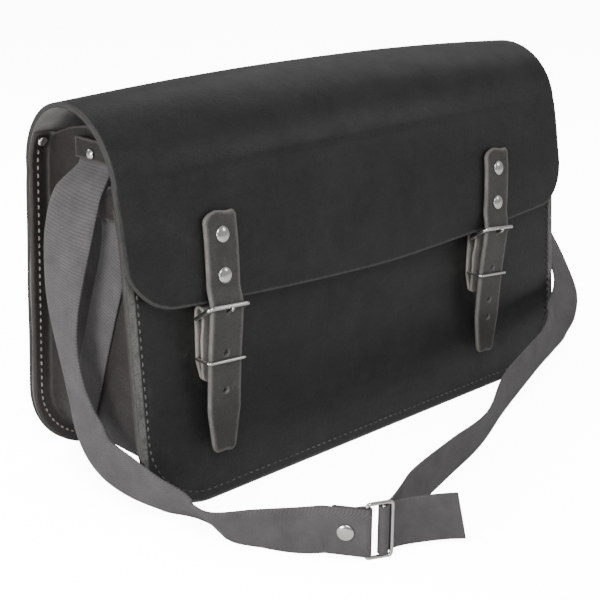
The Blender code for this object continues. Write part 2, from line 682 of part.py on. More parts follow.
class Slider:
    """Slider frame standing on edge on the floor, with its loose bar and the webbing drawn through it."""

    def __init__(self):
        turn = radians(SLIDER_TURN)
        self.along = np.array([cos(turn), sin(turn)])
        self.forward = np.array([sin(turn), -cos(turn)])
        self.centre = np.array([SLIDER_PLACE[0] * HALF_WIDTH, SLIDER_PLACE[1] * BAG_DEPTH])
        self.inside = WEBBING_WIDTH + 2 * SLIDER_PLAY
        self.height = CLEARANCE + SLIDER_WIRE + self.inside / 2
        self.end = (SLIDER_LENGTH - SLIDER_WIRE) / 2
        self.fold_radius = (SLIDER_WIRE + WEBBING_THICKNESS) / 2 + CLEARANCE
        self.wrap_radius = (SLIDER_BAR + WEBBING_THICKNESS) / 2 + CLEARANCE

    def world(self, along, forward, height=None):
        """Point from distances along the frame and forward of it."""
        flat = self.centre + along * self.along + forward * self.forward
        return np.array([*flat, self.height if height is None else height])

    def arc(self, centre, radius, start, stop, steps):
        """Points round a bar, with angles in degrees from the frame's own direction."""
        angles = np.radians(np.linspace(start, stop, steps))
        return [(centre + radius * cos(a), radius * sin(a)) for a in angles]

    def make_frame(self, material, group):
        """Wire frame and the bar between its rails."""
        loop = rounded_loop(2 * self.end, self.inside + SLIDER_WIRE, SLIDER_CORNER)
        points = [self.world(x, 0.0, self.height + z) for x, z in loop]
        wire("slider_frame", points, SLIDER_WIRE, material, group, closed=True)
        half = self.inside / 2 - CLEARANCE
        ends = [self.world(SLIDER_BAR_PLACE, 0.0, self.height + z) for z in (-half, half)]
        wire("slider_bar", ends, SLIDER_BAR, material, group)

    def fold(self):
        """Folded end of the left strap: points along the frame and forward of it, and the rivet's."""
        turn = radians(FOLD_TURN)
        ahead = np.array([cos(turn), sin(turn)])
        out = np.array([-sin(turn), cos(turn)])
        bar = np.array([-self.end, 0.0])
        apart = WEBBING_THICKNESS + CLEARANCE
        front = [bar + out * self.fold_radius - ahead * FOLD_BACK * share for share in (1.2, 0.6, 0.2)]
        points = front + self.arc(-self.end, self.fold_radius, 90 + FOLD_TURN, FOLD_TURN - 90, 9)
        for share, spread in FOLD_CLOSE:
            gap = apart + (2 * self.fold_radius - apart) * spread
            points.append(bar + out * (self.fold_radius - gap) - ahead * FOLD_BACK * share)
        return points, bar + out * self.fold_radius - ahead * FOLD_RIVET, out

    def lead_and_tail(self):
        """Right strap round the loose bar and out behind the frame's end, along and forward."""
        place = SLIDER_BAR_PLACE
        points = [np.array(row) * WEBBING_WIDTH for row in STRAP_LEAD]
        points += self.arc(place, self.wrap_radius, -80.0, -335.0, 13)
        points += self.arc(self.end, self.fold_radius, 205.0, 248.0, 4)
        points += [np.array(row) * WEBBING_WIDTH for row in STRAP_TAIL]
        return points


def strap_stations(table):
    """Rows of a shoulder strap table as centre points and directions across the webbing."""
    rows = []
    for along, off, back, low, *across in table:
        across = np.array(across) / np.linalg.norm(across)
        rise = WEBBING_WIDTH * abs(across[2])
        bottom = low * BAG_HEIGHT
        x = along * HALF_WIDTH + off * WEBBING_WIDTH
        if abs(along) == 1.0:
            x -= along * (HALF_WIDTH - panel_edge(bottom + rise))
        rows.append((x, back * BAG_DEPTH, bottom + rise / 2, *across))
    return rows


def webbing(name, free, drawn, material, group):
    """Band of webbing: straight from its first row to the next, a smooth free run, then the points where it
    is drawn tight, followed as they stand."""
    run = smooth_rows([*free[1:], drawn[0]], WEBBING_SPACING)
    path = np.concatenate([free[:1], run, drawn[1:]])
    centre = path[:, :3]
    tangent = np.gradient(centre, path_run(path), axis=0)
    tangent /= np.linalg.norm(tangent, axis=1)[:, None]
    across = path[:, 3:] - tangent * np.sum(path[:, 3:] * tangent, axis=1)[:, None]
    across /= np.linalg.norm(across, axis=1)[:, None]
    half = np.array([-0.5, 0.5])[None, :, None] * WEBBING_WIDTH
    grid = centre[:, None, :] + half * across[:, None, :]
    return sheet(name, grid, WEBBING_THICKNESS, material, group, offset=0.0)


def make_shoulder_strap(finishes, group, cutters):
    """Both straps of webbing, the slider that joins them and the rivet of the folded end."""
    slider = Slider()
    slider.make_frame(finishes["metal"], group)
    points, rivet_place, out = slider.fold()
    drawn = [(*slider.world(*point), 0.0, 0.0, -1.0) for point in points]
    left = webbing("shoulder_strap_left", strap_stations(LEFT_STRAP), drawn, finishes["webbing"], group)
    out = Vector((*(out[0] * slider.along + out[1] * slider.forward), 0.0))
    face = Vector(slider.world(*rivet_place)) + out * (WEBBING_THICKNESS / 2)
    stack = 2 * WEBBING_THICKNESS + 1.5 * CLEARANCE
    rivet("slider_rivet", RIVET_HEAD, stack, face, out, finishes["metal"], group)
    cut(left, cutter_rod("bore_slider_rivet", SHANK_BORE, RIVET_REACH, face, out, cutters))
    drawn = [(*slider.world(*point), 0.0, 0.0, 1.0) for point in slider.lead_and_tail()]
    right = webbing("shoulder_strap_right", strap_stations(RIGHT_STRAP), drawn, finishes["webbing"], group)
    return {"left": left, "right": right}


def wall_sheet(name, side, layer, edges, thickness, material, group):
    """Flat piece on the outside of a gusset wall, between front and back edge points given upwards."""
    x = side * (WALL_X + layer)
    grid = np.array([[(x, *edge) for edge in row[::-1]] for row in edges])
    if side < 0:
        grid = grid[:, ::-1]
    return sheet(name, grid, thickness, material, group, offset=1.0)


def make_side_fittings(shape, name, side, strap_depth, pieces, finishes, group, cutters):
    """Patch over the strap's end, tab, strip and rivets of one gusset."""
    leather = finishes["gusset"]
    layer = 2 * CLEARANCE + WEBBING_THICKNESS
    centre = strap_depth * BAG_DEPTH
    reach = WEBBING_WIDTH * (0.5 + PATCH_MARGIN)
    edges = [
        ((centre - reach, share * BAG_HEIGHT), (centre + reach, share * BAG_HEIGHT)) for share in PATCH_HEIGHTS
    ]
    patch = wall_sheet("anchor_patch_" + name, side, layer, edges, FITTING_LEATHER, leather, group)
    edges = [
        ((front * BAG_DEPTH, z * BAG_HEIGHT), (back * BAG_DEPTH, z * BAG_HEIGHT))
        for z, front, back in TAB_SHAPE
    ]
    wall_sheet("gusset_tab_" + name, side, layer, edges, FITTING_LEATHER, leather, group)
    rows = [(y * BAG_DEPTH, z * BAG_HEIGHT, 0.0) for y, z in STRIP_RUN[::-1]]
    path = smooth_rows(rows, WEBBING_SPACING)[:, :2]
    slope = np.gradient(path, axis=0)
    slope *= STRIP_WIDTH / 2 / np.linalg.norm(slope, axis=1)[:, None]
    normal = np.column_stack([slope[:, 1], -slope[:, 0]])
    edges = list(zip(path - normal, path + normal))
    wall_sheet("side_strip_" + name, side, CLEARANCE, edges, WEBBING_THICKNESS, finishes["webbing"], group)
    axis = Vector((side, 0.0, 0.0))
    outer = Vector((side * (WALL_X + layer + FITTING_LEATHER), centre, ANCHOR_HEIGHT * BAG_HEIGHT))
    stack = FITTING_LEATHER + layer + GUSSET_LEATHER
    label = "anchor_rivet_" + name
    rivet(label, SMALL_HEAD, stack, outer, axis, finishes["metal"], group)
    bore = cutter_rod("bore_" + label, SHANK_BORE, RIVET_REACH, outer, axis, cutters)
    for piece in (patch, pieces[name], pieces["gusset"]):
        cut(piece, bore)
    z = SEAM_RIVET_HEIGHT * BAG_HEIGHT
    inset = PANEL_LEATHER + SEAM_GAP + GUSSET_LEATHER + SMALL_LIFT
    y = float(shape.back(z, inset))
    axis = Vector((0.0, shape.arch_y - y, shape.arch_z - z)).normalized()
    label = "seam_rivet_" + name
    point = Vector((side * (HALF_WIDTH - SEAM_WIDTH / 2), y, z))
    rivet(label, SMALL_HEAD, inset + SMALL_LIFT, point, axis, finishes["metal"], group)
    bore = cutter_rod("bore_" + label, SHANK_BORE, RIVET_REACH, point, axis, cutters)
    cut(pieces["gusset"], bore)
    cut(pieces["back_flap"], bore)


def main():
    """Build the whole bag."""
    for old in list(bpy.data.objects):
        bpy.data.objects.remove(old)
    group = bpy.data.collections.new("tool_bag")
    cutters = bpy.data.collections.new("tool_bag_cutters")
    bpy.context.scene.collection.children.link(group)
    bpy.context.scene.collection.children.link(cutters)
    finishes = {
        "leather": finish("black_leather", (0.035, 0.036, 0.034), 0.45),
        "gusset": finish("gusset_leather", (0.040, 0.036, 0.034), 0.55),
        "strap": finish("strap_leather", (0.090, 0.088, 0.085), 0.50),
        "chape": finish("chape_leather", (0.170, 0.155, 0.145), 0.60),
        "webbing": finish("webbing", (0.130, 0.125, 0.128), 0.85),
        "metal": finish("nickel", (0.80, 0.79, 0.77), 0.22, 1.0),
    }
    shape = BagShape()
    front = make_front_panel(shape, finishes["leather"], group)
    back_flap = make_back_flap(shape, finishes["leather"], group)
    gusset = make_gusset(shape, finishes["gusset"], group)
    floor_size = (2 * BAG_WIDTH, 2 * BAG_DEPTH, 2 * BAG_DEPTH)
    floor = (0.0, BAG_DEPTH / 2, -BAG_DEPTH)
    level = cutter_block("floor_level", floor_size, floor, (0.0, 0.0, 1.0), cutters)
    for piece in (front, back_flap, gusset):
        cut(piece, level)
    for name, centre, drift, tilt, extra_holes in CLOSURES:
        closure = Closure(shape, name, centre, drift, tilt, finishes, group)
        closure.make_strap(back_flap, extra_holes, cutters)
        closure.make_buckle()
        closure.make_chape(closure.make_keeper(), cutters)
    pieces = make_shoulder_strap(finishes, group, cutters)
    pieces.update(gusset=gusset, back_flap=back_flap)
    for name, side, table in (("left", -1.0, LEFT_STRAP), ("right", 1.0, RIGHT_STRAP)):
        make_side_fittings(shape, name, side, table[0][2], pieces, finishes, group, cutters)


main()
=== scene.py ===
"""Leather tool bag, dressed: grained panels, sewn seams, buckled closures, woven strap and nickel fittings.

The bag stands on the floor, z = 0. The origin is the middle of the front panel's lower edge, x runs along
the bag and y from the front towards the back. Lengths are metres.
"""
import logging
from dataclasses import dataclass, field, replace
from enum import Enum
from math import atan, cos, pi, radians, sin

import bpy
import numpy as np
from mathutils import Matrix


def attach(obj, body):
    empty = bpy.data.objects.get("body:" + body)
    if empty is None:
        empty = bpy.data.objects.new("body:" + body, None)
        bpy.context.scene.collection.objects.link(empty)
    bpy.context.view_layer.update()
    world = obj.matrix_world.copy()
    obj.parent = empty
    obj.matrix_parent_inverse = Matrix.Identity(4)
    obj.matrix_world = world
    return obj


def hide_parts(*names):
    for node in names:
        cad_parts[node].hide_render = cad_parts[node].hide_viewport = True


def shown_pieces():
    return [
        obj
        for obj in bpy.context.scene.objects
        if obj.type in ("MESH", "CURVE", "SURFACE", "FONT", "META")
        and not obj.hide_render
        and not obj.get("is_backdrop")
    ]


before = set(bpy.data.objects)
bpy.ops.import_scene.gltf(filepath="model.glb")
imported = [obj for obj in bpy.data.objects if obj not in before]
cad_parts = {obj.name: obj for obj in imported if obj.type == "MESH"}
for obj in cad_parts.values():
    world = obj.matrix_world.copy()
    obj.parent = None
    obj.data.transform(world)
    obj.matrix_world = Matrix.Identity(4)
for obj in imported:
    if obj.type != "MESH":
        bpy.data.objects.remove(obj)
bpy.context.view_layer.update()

LOG = logging.getLogger("tool_bag")
# Width of the front panel's worn border, and how far past the panels' half width the flap's begins
PANEL_BORDER = 0.0052
FLAP_BORDER = 0.0004
Array = np.ndarray
Rows = tuple[tuple[float, ...], ...]
Triple = tuple[float, float, float]
Piece = bpy.types.Object
Material = bpy.types.Material
Tree = bpy.types.NodeTree
Node = bpy.types.Node
Socket = bpy.types.NodeSocket


class Side(Enum):
    """The two ends of the bag, with the sign of x there."""

    LEFT = -1.0
    RIGHT = 1.0

    @property
    def label(self) -> str:
        """Lower-case name used in piece names."""
        return self.name.lower()


class Skin(Enum):
    """Material slots of a piece of leather."""

    GRAIN = 0
    RIM = 1
    FLESH = 2


class Facing(Enum):
    """Faces of the leather that a line of stitches is seen on: the sign of y that it looks towards."""

    FORWARD = -1.0
    BACKWARD = 1.0


# ---- curves


def blend_cubic(rows: Array, knots: Array, at: Array) -> Array:
    """Cubic Hermite curve through rows; each row's slope is the finite difference of its neighbours.

    Args:
        rows: one row of values for each knot.
        knots: increasing parameter of the rows.
        at: parameters to read.

    Returns:
        One row of values for each parameter asked.
    """
    slope = np.gradient(rows, knots, axis=0)
    index = np.clip(np.searchsorted(knots, at, side="right") - 1, 0, len(rows) - 2)
    span = (knots[index + 1] - knots[index])[:, None]
    t = (at - knots[index])[:, None] / span
    return (
        (2 * t**3 - 3 * t**2 + 1) * rows[index]
        + (t**3 - 2 * t**2 + t) * span * slope[index]
        + (3 * t**2 - 2 * t**3) * rows[index + 1]
        + (t**3 - t**2) * span * slope[index + 1]
    )


def path_run(path: Array) -> Array:
    """Running length of a path: the sum of the distances between its points so far.

    Args:
        path: points, one a row, in the first three columns.

    Returns:
        Distance from the start at each point.
    """
    steps = np.linalg.norm(np.diff(path[:, :3], axis=0), axis=1)
    return np.concatenate([[0.0], np.cumsum(steps)])


def resample(path: Array, spacing: float, squeeze: float = 0.0) -> Array:
    """Read a path at an even spacing, straight between its points, with closer rows towards its two ends.

    Within the squeeze length r of an end, distance s from it becomes r times (1 - cos(pi s / 2 r)).

    Args:
        path: points with any further columns.
        spacing: distance wanted between points.
        squeeze: length at each end where the rows draw together.

    Returns:
        The rows read.
    """
    run = path_run(path)
    even = np.linspace(0.0, run[-1], max(round(run[-1] / spacing), 1) + 1)
    if squeeze:
        near = np.minimum(even, run[-1] - even)
        drawn = np.where(near < squeeze, squeeze * (1 - np.cos(pi / 2 * np.minimum(near / squeeze, 1.0))), near)
        even = np.where(even < run[-1] / 2, drawn, run[-1] - drawn)
    return np.column_stack([np.interp(even, run, column) for column in path.T])


def smooth_rows(rows: Rows | Array, spacing: float, squeeze: float = 0.0) -> Array:
    """Smooth curve through rows, with the root of the chords as its parameter, read at a spacing.

    Args:
        rows: rows whose first three values are a point.
        spacing: distance wanted between points.
        squeeze: length at each end where the rows draw together.

    Returns:
        The rows read.
    """
    rows = np.asarray(rows, dtype=float)
    chords = np.linalg.norm(np.diff(rows[:, :3], axis=0), axis=1)
    knots = np.concatenate([[0.0], np.cumsum(np.sqrt(chords))])
    fine = blend_cubic(rows, knots, np.linspace(knots[0], knots[-1], 60 * len(rows)))
    return resample(fine, spacing, squeeze)


def lookup(table: Rows, value: Array | float) -> Array:
    """Straight-line reading of a two-column table.

    Args:
        table: rows of key and value.
        value: keys to read.

    Returns:
        The values there.
    """
    keys, values = zip(*table)
    return np.interp(value, keys, values)


def unit(vectors: Array) -> Array:
    """Vectors divided by their own length, along the last axis."""
    return vectors / np.linalg.norm(vectors, axis=-1, keepdims=True)


def rounded_loop(width: float, height: float, corner: float, steps: int = 8) -> Array:
    """Centre line of a rectangular loop: quarter circles of the corner's radius joined by straight sides.

    Args:
        width: width between the centre lines of its upright sides.
        height: height between the centre lines of its level sides.
        corner: radius of its corners.
        steps: steps in each corner.

    Returns:
        Points in the loop's own plane.
    """
    turn = np.repeat(np.arange(4), steps + 1)
    angle = pi / 2 * (turn + np.tile(np.linspace(0.0, 1.0, steps + 1), 4))
    side_x = np.array([1, -1, -1, 1])[turn]
    side_y = np.array([1, 1, -1, -1])[turn]
    x = side_x * (width / 2 - corner) + corner * np.cos(angle)
    y = side_y * (height / 2 - corner) + corner * np.sin(angle)
    return np.column_stack([x, y])


# ---- meshes


@dataclass(frozen=True)
class Punch:
    """A hole through a sheet: its place, its half sizes down and along the sheet, and how square it is."""

    point: Array
    down: float
    along: float
    power: float = 2.0


@dataclass
class Shell:
    """Arrays of a mesh: points, quads with a slot each, a flat map and an edge distance, and flat caps."""

    points: Array
    quads: Array
    slots: Array
    uv: Array
    edge: Array
    caps: list[Array] = field(default_factory=list)

    def above_floor(self, lowest: float = 0.0003) -> "Shell":
        """The same shell with no point lower than the height given."""
        self.points[:, 2] = np.maximum(self.points[:, 2], lowest)
        return self

    def one_slot(self) -> "Shell":
        """The same shell with every quad in the first slot."""
        self.slots = np.zeros(len(self.quads))
        return self

    def piece(self, name: str, materials: list[Material]) -> Piece:
        """Mesh object at the origin from the arrays, with its flat map and its edge distance.

        Args:
            name: the piece's name.
            materials: one for each slot.

        Returns:
            The new object.
        """
        used, compact = np.unique(np.concatenate([self.quads.ravel(), *self.caps]), return_inverse=True)
        corners = self.quads.size
        quads = compact[:corners].reshape(-1, 4)
        caps = np.split(compact[corners:], np.cumsum([len(cap) for cap in self.caps])[:-1]) if self.caps else []
        mesh = bpy.data.meshes.new(name)
        mesh.from_pydata(self.points[used].tolist(), [], quads.tolist() + [cap.tolist() for cap in caps])
        for material in materials:
            mesh.materials.append(material)
        slots = np.concatenate([self.slots, np.zeros(len(caps))]).astype(np.int32)
        mesh.polygons.foreach_set("material_index", slots)
        mesh.shade_smooth()
        layer = mesh.uv_layers.new(name="surface")
        layer.uv.foreach_set("vector", self.uv[used][compact].astype(np.float32).ravel())
        edge = mesh.attributes.new("edge", "FLOAT", "POINT")
        edge.data.foreach_set("value", self.edge[used].astype(np.float32))
        mesh.update()
        piece = bpy.data.objects.new(name, mesh)
        bpy.context.scene.collection.objects.link(piece)
        return piece


def grid_quads(rows: int, columns: int) -> Array:
    """Quads of a grid of points; their outer side is the row direction times the column direction.

    Args:
        rows: number of rows.
        columns: number of columns.

    Returns:
        Point numbers, four a quad.
    """
    corner = (np.arange(rows - 1)[:, None] * columns + np.arange(columns - 1)).ravel()
    return np.column_stack([corner, corner + columns, corner + columns + 1, corner + 1])


def border_loop(number: Array) -> Array:
    """Point numbers round a grid's border: along its first row, down its last column, and back."""
    return np.concatenate([number[0, :-1], number[:-1, -1], number[-1, :0:-1], number[:0:-1, 0]])


def chain_quads(chains: list[Array]) -> Array:
    """Quads between closed chains of points; their outer side is the chain direction times the step on.

    Args:
        chains: point numbers of each chain, all of one length.

    Returns:
        Point numbers, four a quad.
    """
    return np.concatenate([
        np.column_stack([near, np.roll(near, -1), np.roll(far, -1), far]) for near, far in zip(chains, chains[1:])
    ])


def grid_lengths(grid: Array) -> tuple[Array, Array]:
    """Running lengths down the columns and along the rows of a grid.

    Args:
        grid: rows by columns of points.

    Returns:
        Length down and length along, each rows by columns.
    """
    down = np.linalg.norm(np.diff(grid, axis=0), axis=2)
    down = np.concatenate([np.zeros((1, grid.shape[1])), np.cumsum(down, axis=0)])
    along = np.linalg.norm(np.diff(grid, axis=1), axis=2)
    along = np.concatenate([np.zeros((grid.shape[0], 1)), np.cumsum(along, axis=1)], axis=1)
    return down, along


def read_grid(grid: Array, places: Array) -> Array:
    """Bilinear reading of a grid at places given as fractions of rows and columns.

    Args:
        grid: rows by columns of values.
        places: row and column of each place.

    Returns:
        The values there.
    """
    low = np.clip(np.floor(places).astype(int), 0, np.array(grid.shape[:2]) - 2)
    share = places - low
    row, column = low.T
    u, v = share[:, :1], share[:, 1:]
    return (
        grid[row, column] * (1 - u) * (1 - v)
        + grid[row + 1, column] * u * (1 - v)
        + grid[row, column + 1] * (1 - u) * v
        + grid[row + 1, column + 1] * u * v
    )


def sheet_shell(
    grid: Array,
    thickness: float,
    bulge: float,
    centred: bool = False,
    relief: Array | float = 0.0,
    punches: tuple[Punch, ...] = (),
    rim_steps: int = 3,
    lip_share: float = 1.12,
    lip_dip: float = 0.12,
    lip_edge: float = 0.0018,
) -> Shell:
    """Sheet with two faces, a rounded rim and punched holes.

    Each face is the grid, drawn in at its border by the bulge, moved along its normal, the cross product of
    its row and column directions. The rim is half an ellipse carried round the border: its one half axis is
    the bulge, its other half the thickness. Round a hole, rings of points run from a block of the grid's
    cells to the hole's outline, a superellipse, and dip over its lip into its wall.

    Args:
        grid: rows by columns of points, on the outer face, or in mid-thickness when centred.
        thickness: thickness of the sheet.
        bulge: how far the rounded rim stands out of the two faces' borders.
        centred: whether the grid lies in mid-thickness.
        relief: height added to both faces along their normals.
        punches: holes through the sheet.
        rim_steps: rings of points in the rim.
        lip_share: size of a hole's lip over the hole's own.
        lip_dip: share of the thickness that the hole's rim dips.
        lip_edge: edge distance of the rings round a hole; on its outline it is none.

    Returns:
        The closed shell.
    """
    rows, columns = grid.shape[:2]
    down, along = grid_lengths(grid)
    row_way = unit(np.gradient(grid, axis=0))
    column_way = unit(np.gradient(grid, axis=1))
    normal = unit(np.cross(row_way, column_way))
    middle = grid if centred else grid - normal * thickness / 2
    middle = middle + row_way * (bulge * (1 - 2 * down / down[-1:]))[..., None]
    middle = middle + column_way * (bulge * (1 - 2 * along / along[:, -1:]))[..., None]
    half = normal * (thickness / 2 + np.broadcast_to(relief, (rows, columns)))[..., None]
    outer, inner = middle + half, middle - half
    edge = np.minimum.reduce([down, down[-1] - down, along, along[:, -1:] - along])
    uv = np.stack([along - along[:, -1:] / 2, down], axis=-1)

    count = rows * columns
    number = np.arange(count).reshape(rows, columns)
    loop = border_loop(number)
    border = middle.reshape(-1, 3)[loop]
    rise = half.reshape(-1, 3)[loop]
    tangent = np.roll(border, -1, axis=0) - np.roll(border, 1, axis=0)
    outward = unit(np.cross(normal.reshape(-1, 3)[loop], tangent))
    angles = pi / 2 - pi * np.arange(1, rim_steps + 1) / (rim_steps + 1)
    rings = [border + outward * bulge * cos(angle) + rise * sin(angle) for angle in angles]
    starts = 2 * count + len(loop) * np.arange(rim_steps)
    rim = chain_quads([loop, *(start + np.arange(len(loop)) for start in starts), loop + count])

    points = [outer.reshape(-1, 3), inner.reshape(-1, 3), *rings]
    maps = [uv.reshape(-1, 2), uv.reshape(-1, 2)] + [uv.reshape(-1, 2)[loop]] * rim_steps
    edges = [edge.ravel(), edge.ravel(), np.zeros(len(loop) * rim_steps)]
    face = grid_quads(rows, columns)
    kept = np.ones((rows - 1, columns - 1), dtype=bool)
    total = sum(len(block) for block in points)
    hole_quads, hole_slots = [], []
    for punch in punches:
        apart = np.linalg.norm(middle - punch.point, axis=2)
        row, column = np.unravel_index(np.argmin(apart), apart.shape)
        row, column = min(max(row, 1), rows - 2), min(max(column, 1), columns - 2)
        down_step = (middle[row + 1, column] - middle[row - 1, column]) / 2
        along_step = (middle[row, column + 1] - middle[row, column - 1]) / 2
        off = punch.point - middle[row, column]
        centre = np.array([
            row + off @ down_step / (down_step @ down_step),
            column + off @ along_step / (along_step @ along_step),
        ])
        size = np.array([punch.down / np.linalg.norm(down_step), punch.along / np.linalg.norm(along_step)])
        low = np.floor(centre - size - 1.0).astype(int)
        high = np.ceil(centre + size + 1.0).astype(int)
        kept[low[0] : high[0], low[1] : high[1]] = False
        block = border_loop(number[low[0] : high[0] + 1, low[1] : high[1] + 1])
        start_places = np.column_stack([block // columns, block % columns]).astype(float)
        angle = np.arctan2(*((start_places - centre) / size).T)
        shape = np.column_stack([np.sin(angle), np.cos(angle)])
        shape = np.sign(shape) * np.abs(shape) ** (2 / punch.power)
        outline = centre + size * shape
        lip = centre + size * shape * lip_share
        chains = [block]
        for places, faces, lift in (
            ((start_places + lip) / 2, outer, 0.0),
            (lip, outer, 0.0),
            (outline, outer, lip_dip),
            (outline, inner, lip_dip),
            (lip, inner, 0.0),
            ((start_places + lip) / 2, inner, 0.0),
        ):
            ring = read_grid(faces, places)
            ring += (read_grid(middle, places) - ring) * lift * 2
            points.append(ring)
            maps.append(read_grid(uv, places))
            edges.append(np.full(len(ring), 0.0 if lift else lip_edge))
            chains.append(total + np.arange(len(ring)))
            total += len(ring)
        chains.append(block + count)
        hole_quads.append(chain_quads(chains)[:, [0, 3, 2, 1]])
        hole_slots.append(np.repeat(
            [Skin.GRAIN.value] * 2 + [Skin.RIM.value] * 3 + [Skin.FLESH.value] * 2, len(block)
        ))
    face = face[kept.ravel()]
    quads = np.concatenate([face, face[:, ::-1] + count, rim, *hole_quads])
    slots = np.concatenate([
        np.full(len(face), Skin.GRAIN.value),
        np.full(len(face), Skin.FLESH.value),
        np.full(len(rim), Skin.RIM.value),
        *hole_slots,
    ])
    return Shell(np.concatenate(points), quads, slots, np.concatenate(maps), np.concatenate(edges))


def tube_shell(path: Array, plane: Array, radius: float, closed: bool, sides: int = 16) -> Shell:
    """Round wire along a flat path.

    The circle's point at angle a is the path's point, plus the radius times (cos a times the plane's normal
    plus sin a times the side direction, the cross product of the path's direction and that normal). An open
    end closes in rings that shrink as a quarter ellipse.

    Args:
        path: points of the centre line, all in one plane.
        plane: normal of that plane.
        radius: radius of the wire.
        closed: whether the path runs back to its start.
        sides: points round the wire.

    Returns:
        The closed shell.
    """
    if closed:
        tangent = unit(np.roll(path, -1, axis=0) - np.roll(path, 1, axis=0))
        scale = np.ones(len(path))
    else:
        tangent = unit(np.gradient(path, axis=0))
        ends = tangent[[0, -1]]
        bow = np.radians([84.0, 60.0, 30.0])
        head = path[0] - ends[0] * 0.6 * radius * np.sin(bow)[:, None]
        tail = path[-1] + ends[1] * 0.6 * radius * np.sin(bow[::-1])[:, None]
        tangent = np.concatenate([np.repeat(ends[:1], 3, axis=0), tangent, np.repeat(ends[1:], 3, axis=0)])
        scale = np.concatenate([np.cos(bow), np.ones(len(path)), np.cos(bow[::-1])])
        path = np.concatenate([head, path, tail])
    plane = unit(np.asarray(plane, dtype=float))
    across = unit(np.cross(tangent, plane))
    angle = np.linspace(0.0, 2 * pi, sides, endpoint=False)[None, :, None]
    grid = path[:, None] + radius * scale[:, None, None] * (np.cos(angle) * plane + np.sin(angle) * across[:, None])
    number = np.arange(len(path) * sides).reshape(len(path), sides)
    chains = [*number, number[0]] if closed else list(number)
    caps = [] if closed else [number[0][::-1], number[-1]]
    quads = chain_quads(chains)
    run = np.repeat(path_run(path), sides)
    uv = np.column_stack([np.tile(np.arange(sides) / sides, len(path)), run])
    return Shell(grid.reshape(-1, 3), quads, np.zeros(len(quads)), uv, np.ones(len(run)), caps)


def turned_shell(profile: Array, point: Array, axis: Array, sides: int = 32) -> Shell:
    """Round piece: a profile of radius and height, from top to bottom, turned about an axis.

    Args:
        profile: rows of radius and height.
        point: where height zero stands.
        axis: direction of height.
        sides: points round the axis.

    Returns:
        The closed shell.
    """
    axis = unit(np.asarray(axis, dtype=float))
    helper = np.array([0.0, 0.0, 1.0]) if abs(axis[2]) < 0.9 else np.array([1.0, 0.0, 0.0])
    first = unit(np.cross(helper, axis))
    second = np.cross(axis, first)
    angle = np.linspace(0.0, 2 * pi, sides, endpoint=False)[None, :, None]
    radius, height = profile[:, 0][:, None, None], profile[:, 1][:, None, None]
    grid = point + radius * (np.cos(angle) * first + np.sin(angle) * second) + height * axis
    number = np.arange(len(profile) * sides).reshape(len(profile), sides)
    quads = chain_quads(list(number))[:, ::-1]
    uv = np.zeros((number.size, 2))
    caps = [number[0], number[-1][::-1]]
    return Shell(grid.reshape(-1, 3), quads, np.zeros(len(quads)), uv, np.ones(number.size), caps)


def stitch_shell(line: Array, normal: Array, length: float, radius: float, sink: float) -> Shell:
    """Row of sewn stitches: at each point of a line, a short thread that dips into the leather at both ends.

    Along the thread, t from -1 to 1, its middle stands (1 - t squared) times its rise over the leather, less
    the sink, and its radius is the square root of (1 - t to the fourth) times the full radius.

    Args:
        line: centres of the stitches, on the leather's face, each a step from the next.
        normal: direction out of the face at each.
        length: visible length of a stitch.
        radius: radius of the thread.
        sink: depth of the stitch's ends under the face.

    Returns:
        All the stitches in one shell.
    """
    tangent = unit(np.gradient(line, axis=0))
    side = unit(np.cross(tangent, normal))
    normal = np.cross(side, tangent)
    t = np.array([-0.99, -0.8, -0.4, 0.0, 0.4, 0.8, 0.99])
    angle = np.linspace(0.0, 2 * pi, 8, endpoint=False)
    swell = radius * np.sqrt(1 - t**4)
    rise = (radius * 0.75 + sink) * (1 - t**2) - sink
    middle = (
        line[:, None] + tangent[:, None] * (t * length / 2)[None, :, None] + normal[:, None] * rise[None, :, None]
    )
    ring = np.cos(angle)[:, None, None] * normal[None] + np.sin(angle)[:, None, None] * side[None]
    grid = middle[:, :, None] + swell[None, :, None, None] * ring.transpose(1, 0, 2)[:, None]
    stitches, stations, sides = grid.shape[:3]
    number = np.arange(stitches * stations * sides).reshape(stitches, stations, sides)
    near, far = number[:, :-1], number[:, 1:]
    quads = np.stack([near, np.roll(near, -1, axis=2), np.roll(far, -1, axis=2), far], axis=-1).reshape(-1, 4)
    caps = [cap[::-1] for cap in number[:, 0]] + list(number[:, -1])
    turn, reach = np.broadcast_arrays(
        (np.arange(sides) / sides)[None, None, :],
        (t * length / 2)[None, :, None] + np.arange(stitches)[:, None, None],
    )
    uv = np.stack([turn, reach], axis=-1).reshape(-1, 2)
    return Shell(grid.reshape(-1, 3), quads[:, ::-1], np.zeros(len(quads)), uv, np.ones(number.size),
                 [cap[::-1] for cap in caps])


def place(piece: Piece, slot: str, *nodes: str) -> Piece:
    """Let a piece ride on the bag's body and stand for its CAD nodes, which it hides.

    Args:
        piece: the piece.
        slot: name of a material slot; not used.
        nodes: CAD nodes that it replaces.

    Returns:
        The piece.
    """
    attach(piece, "root")
    if nodes:
        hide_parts(*nodes)
    return piece


# ---- finishes


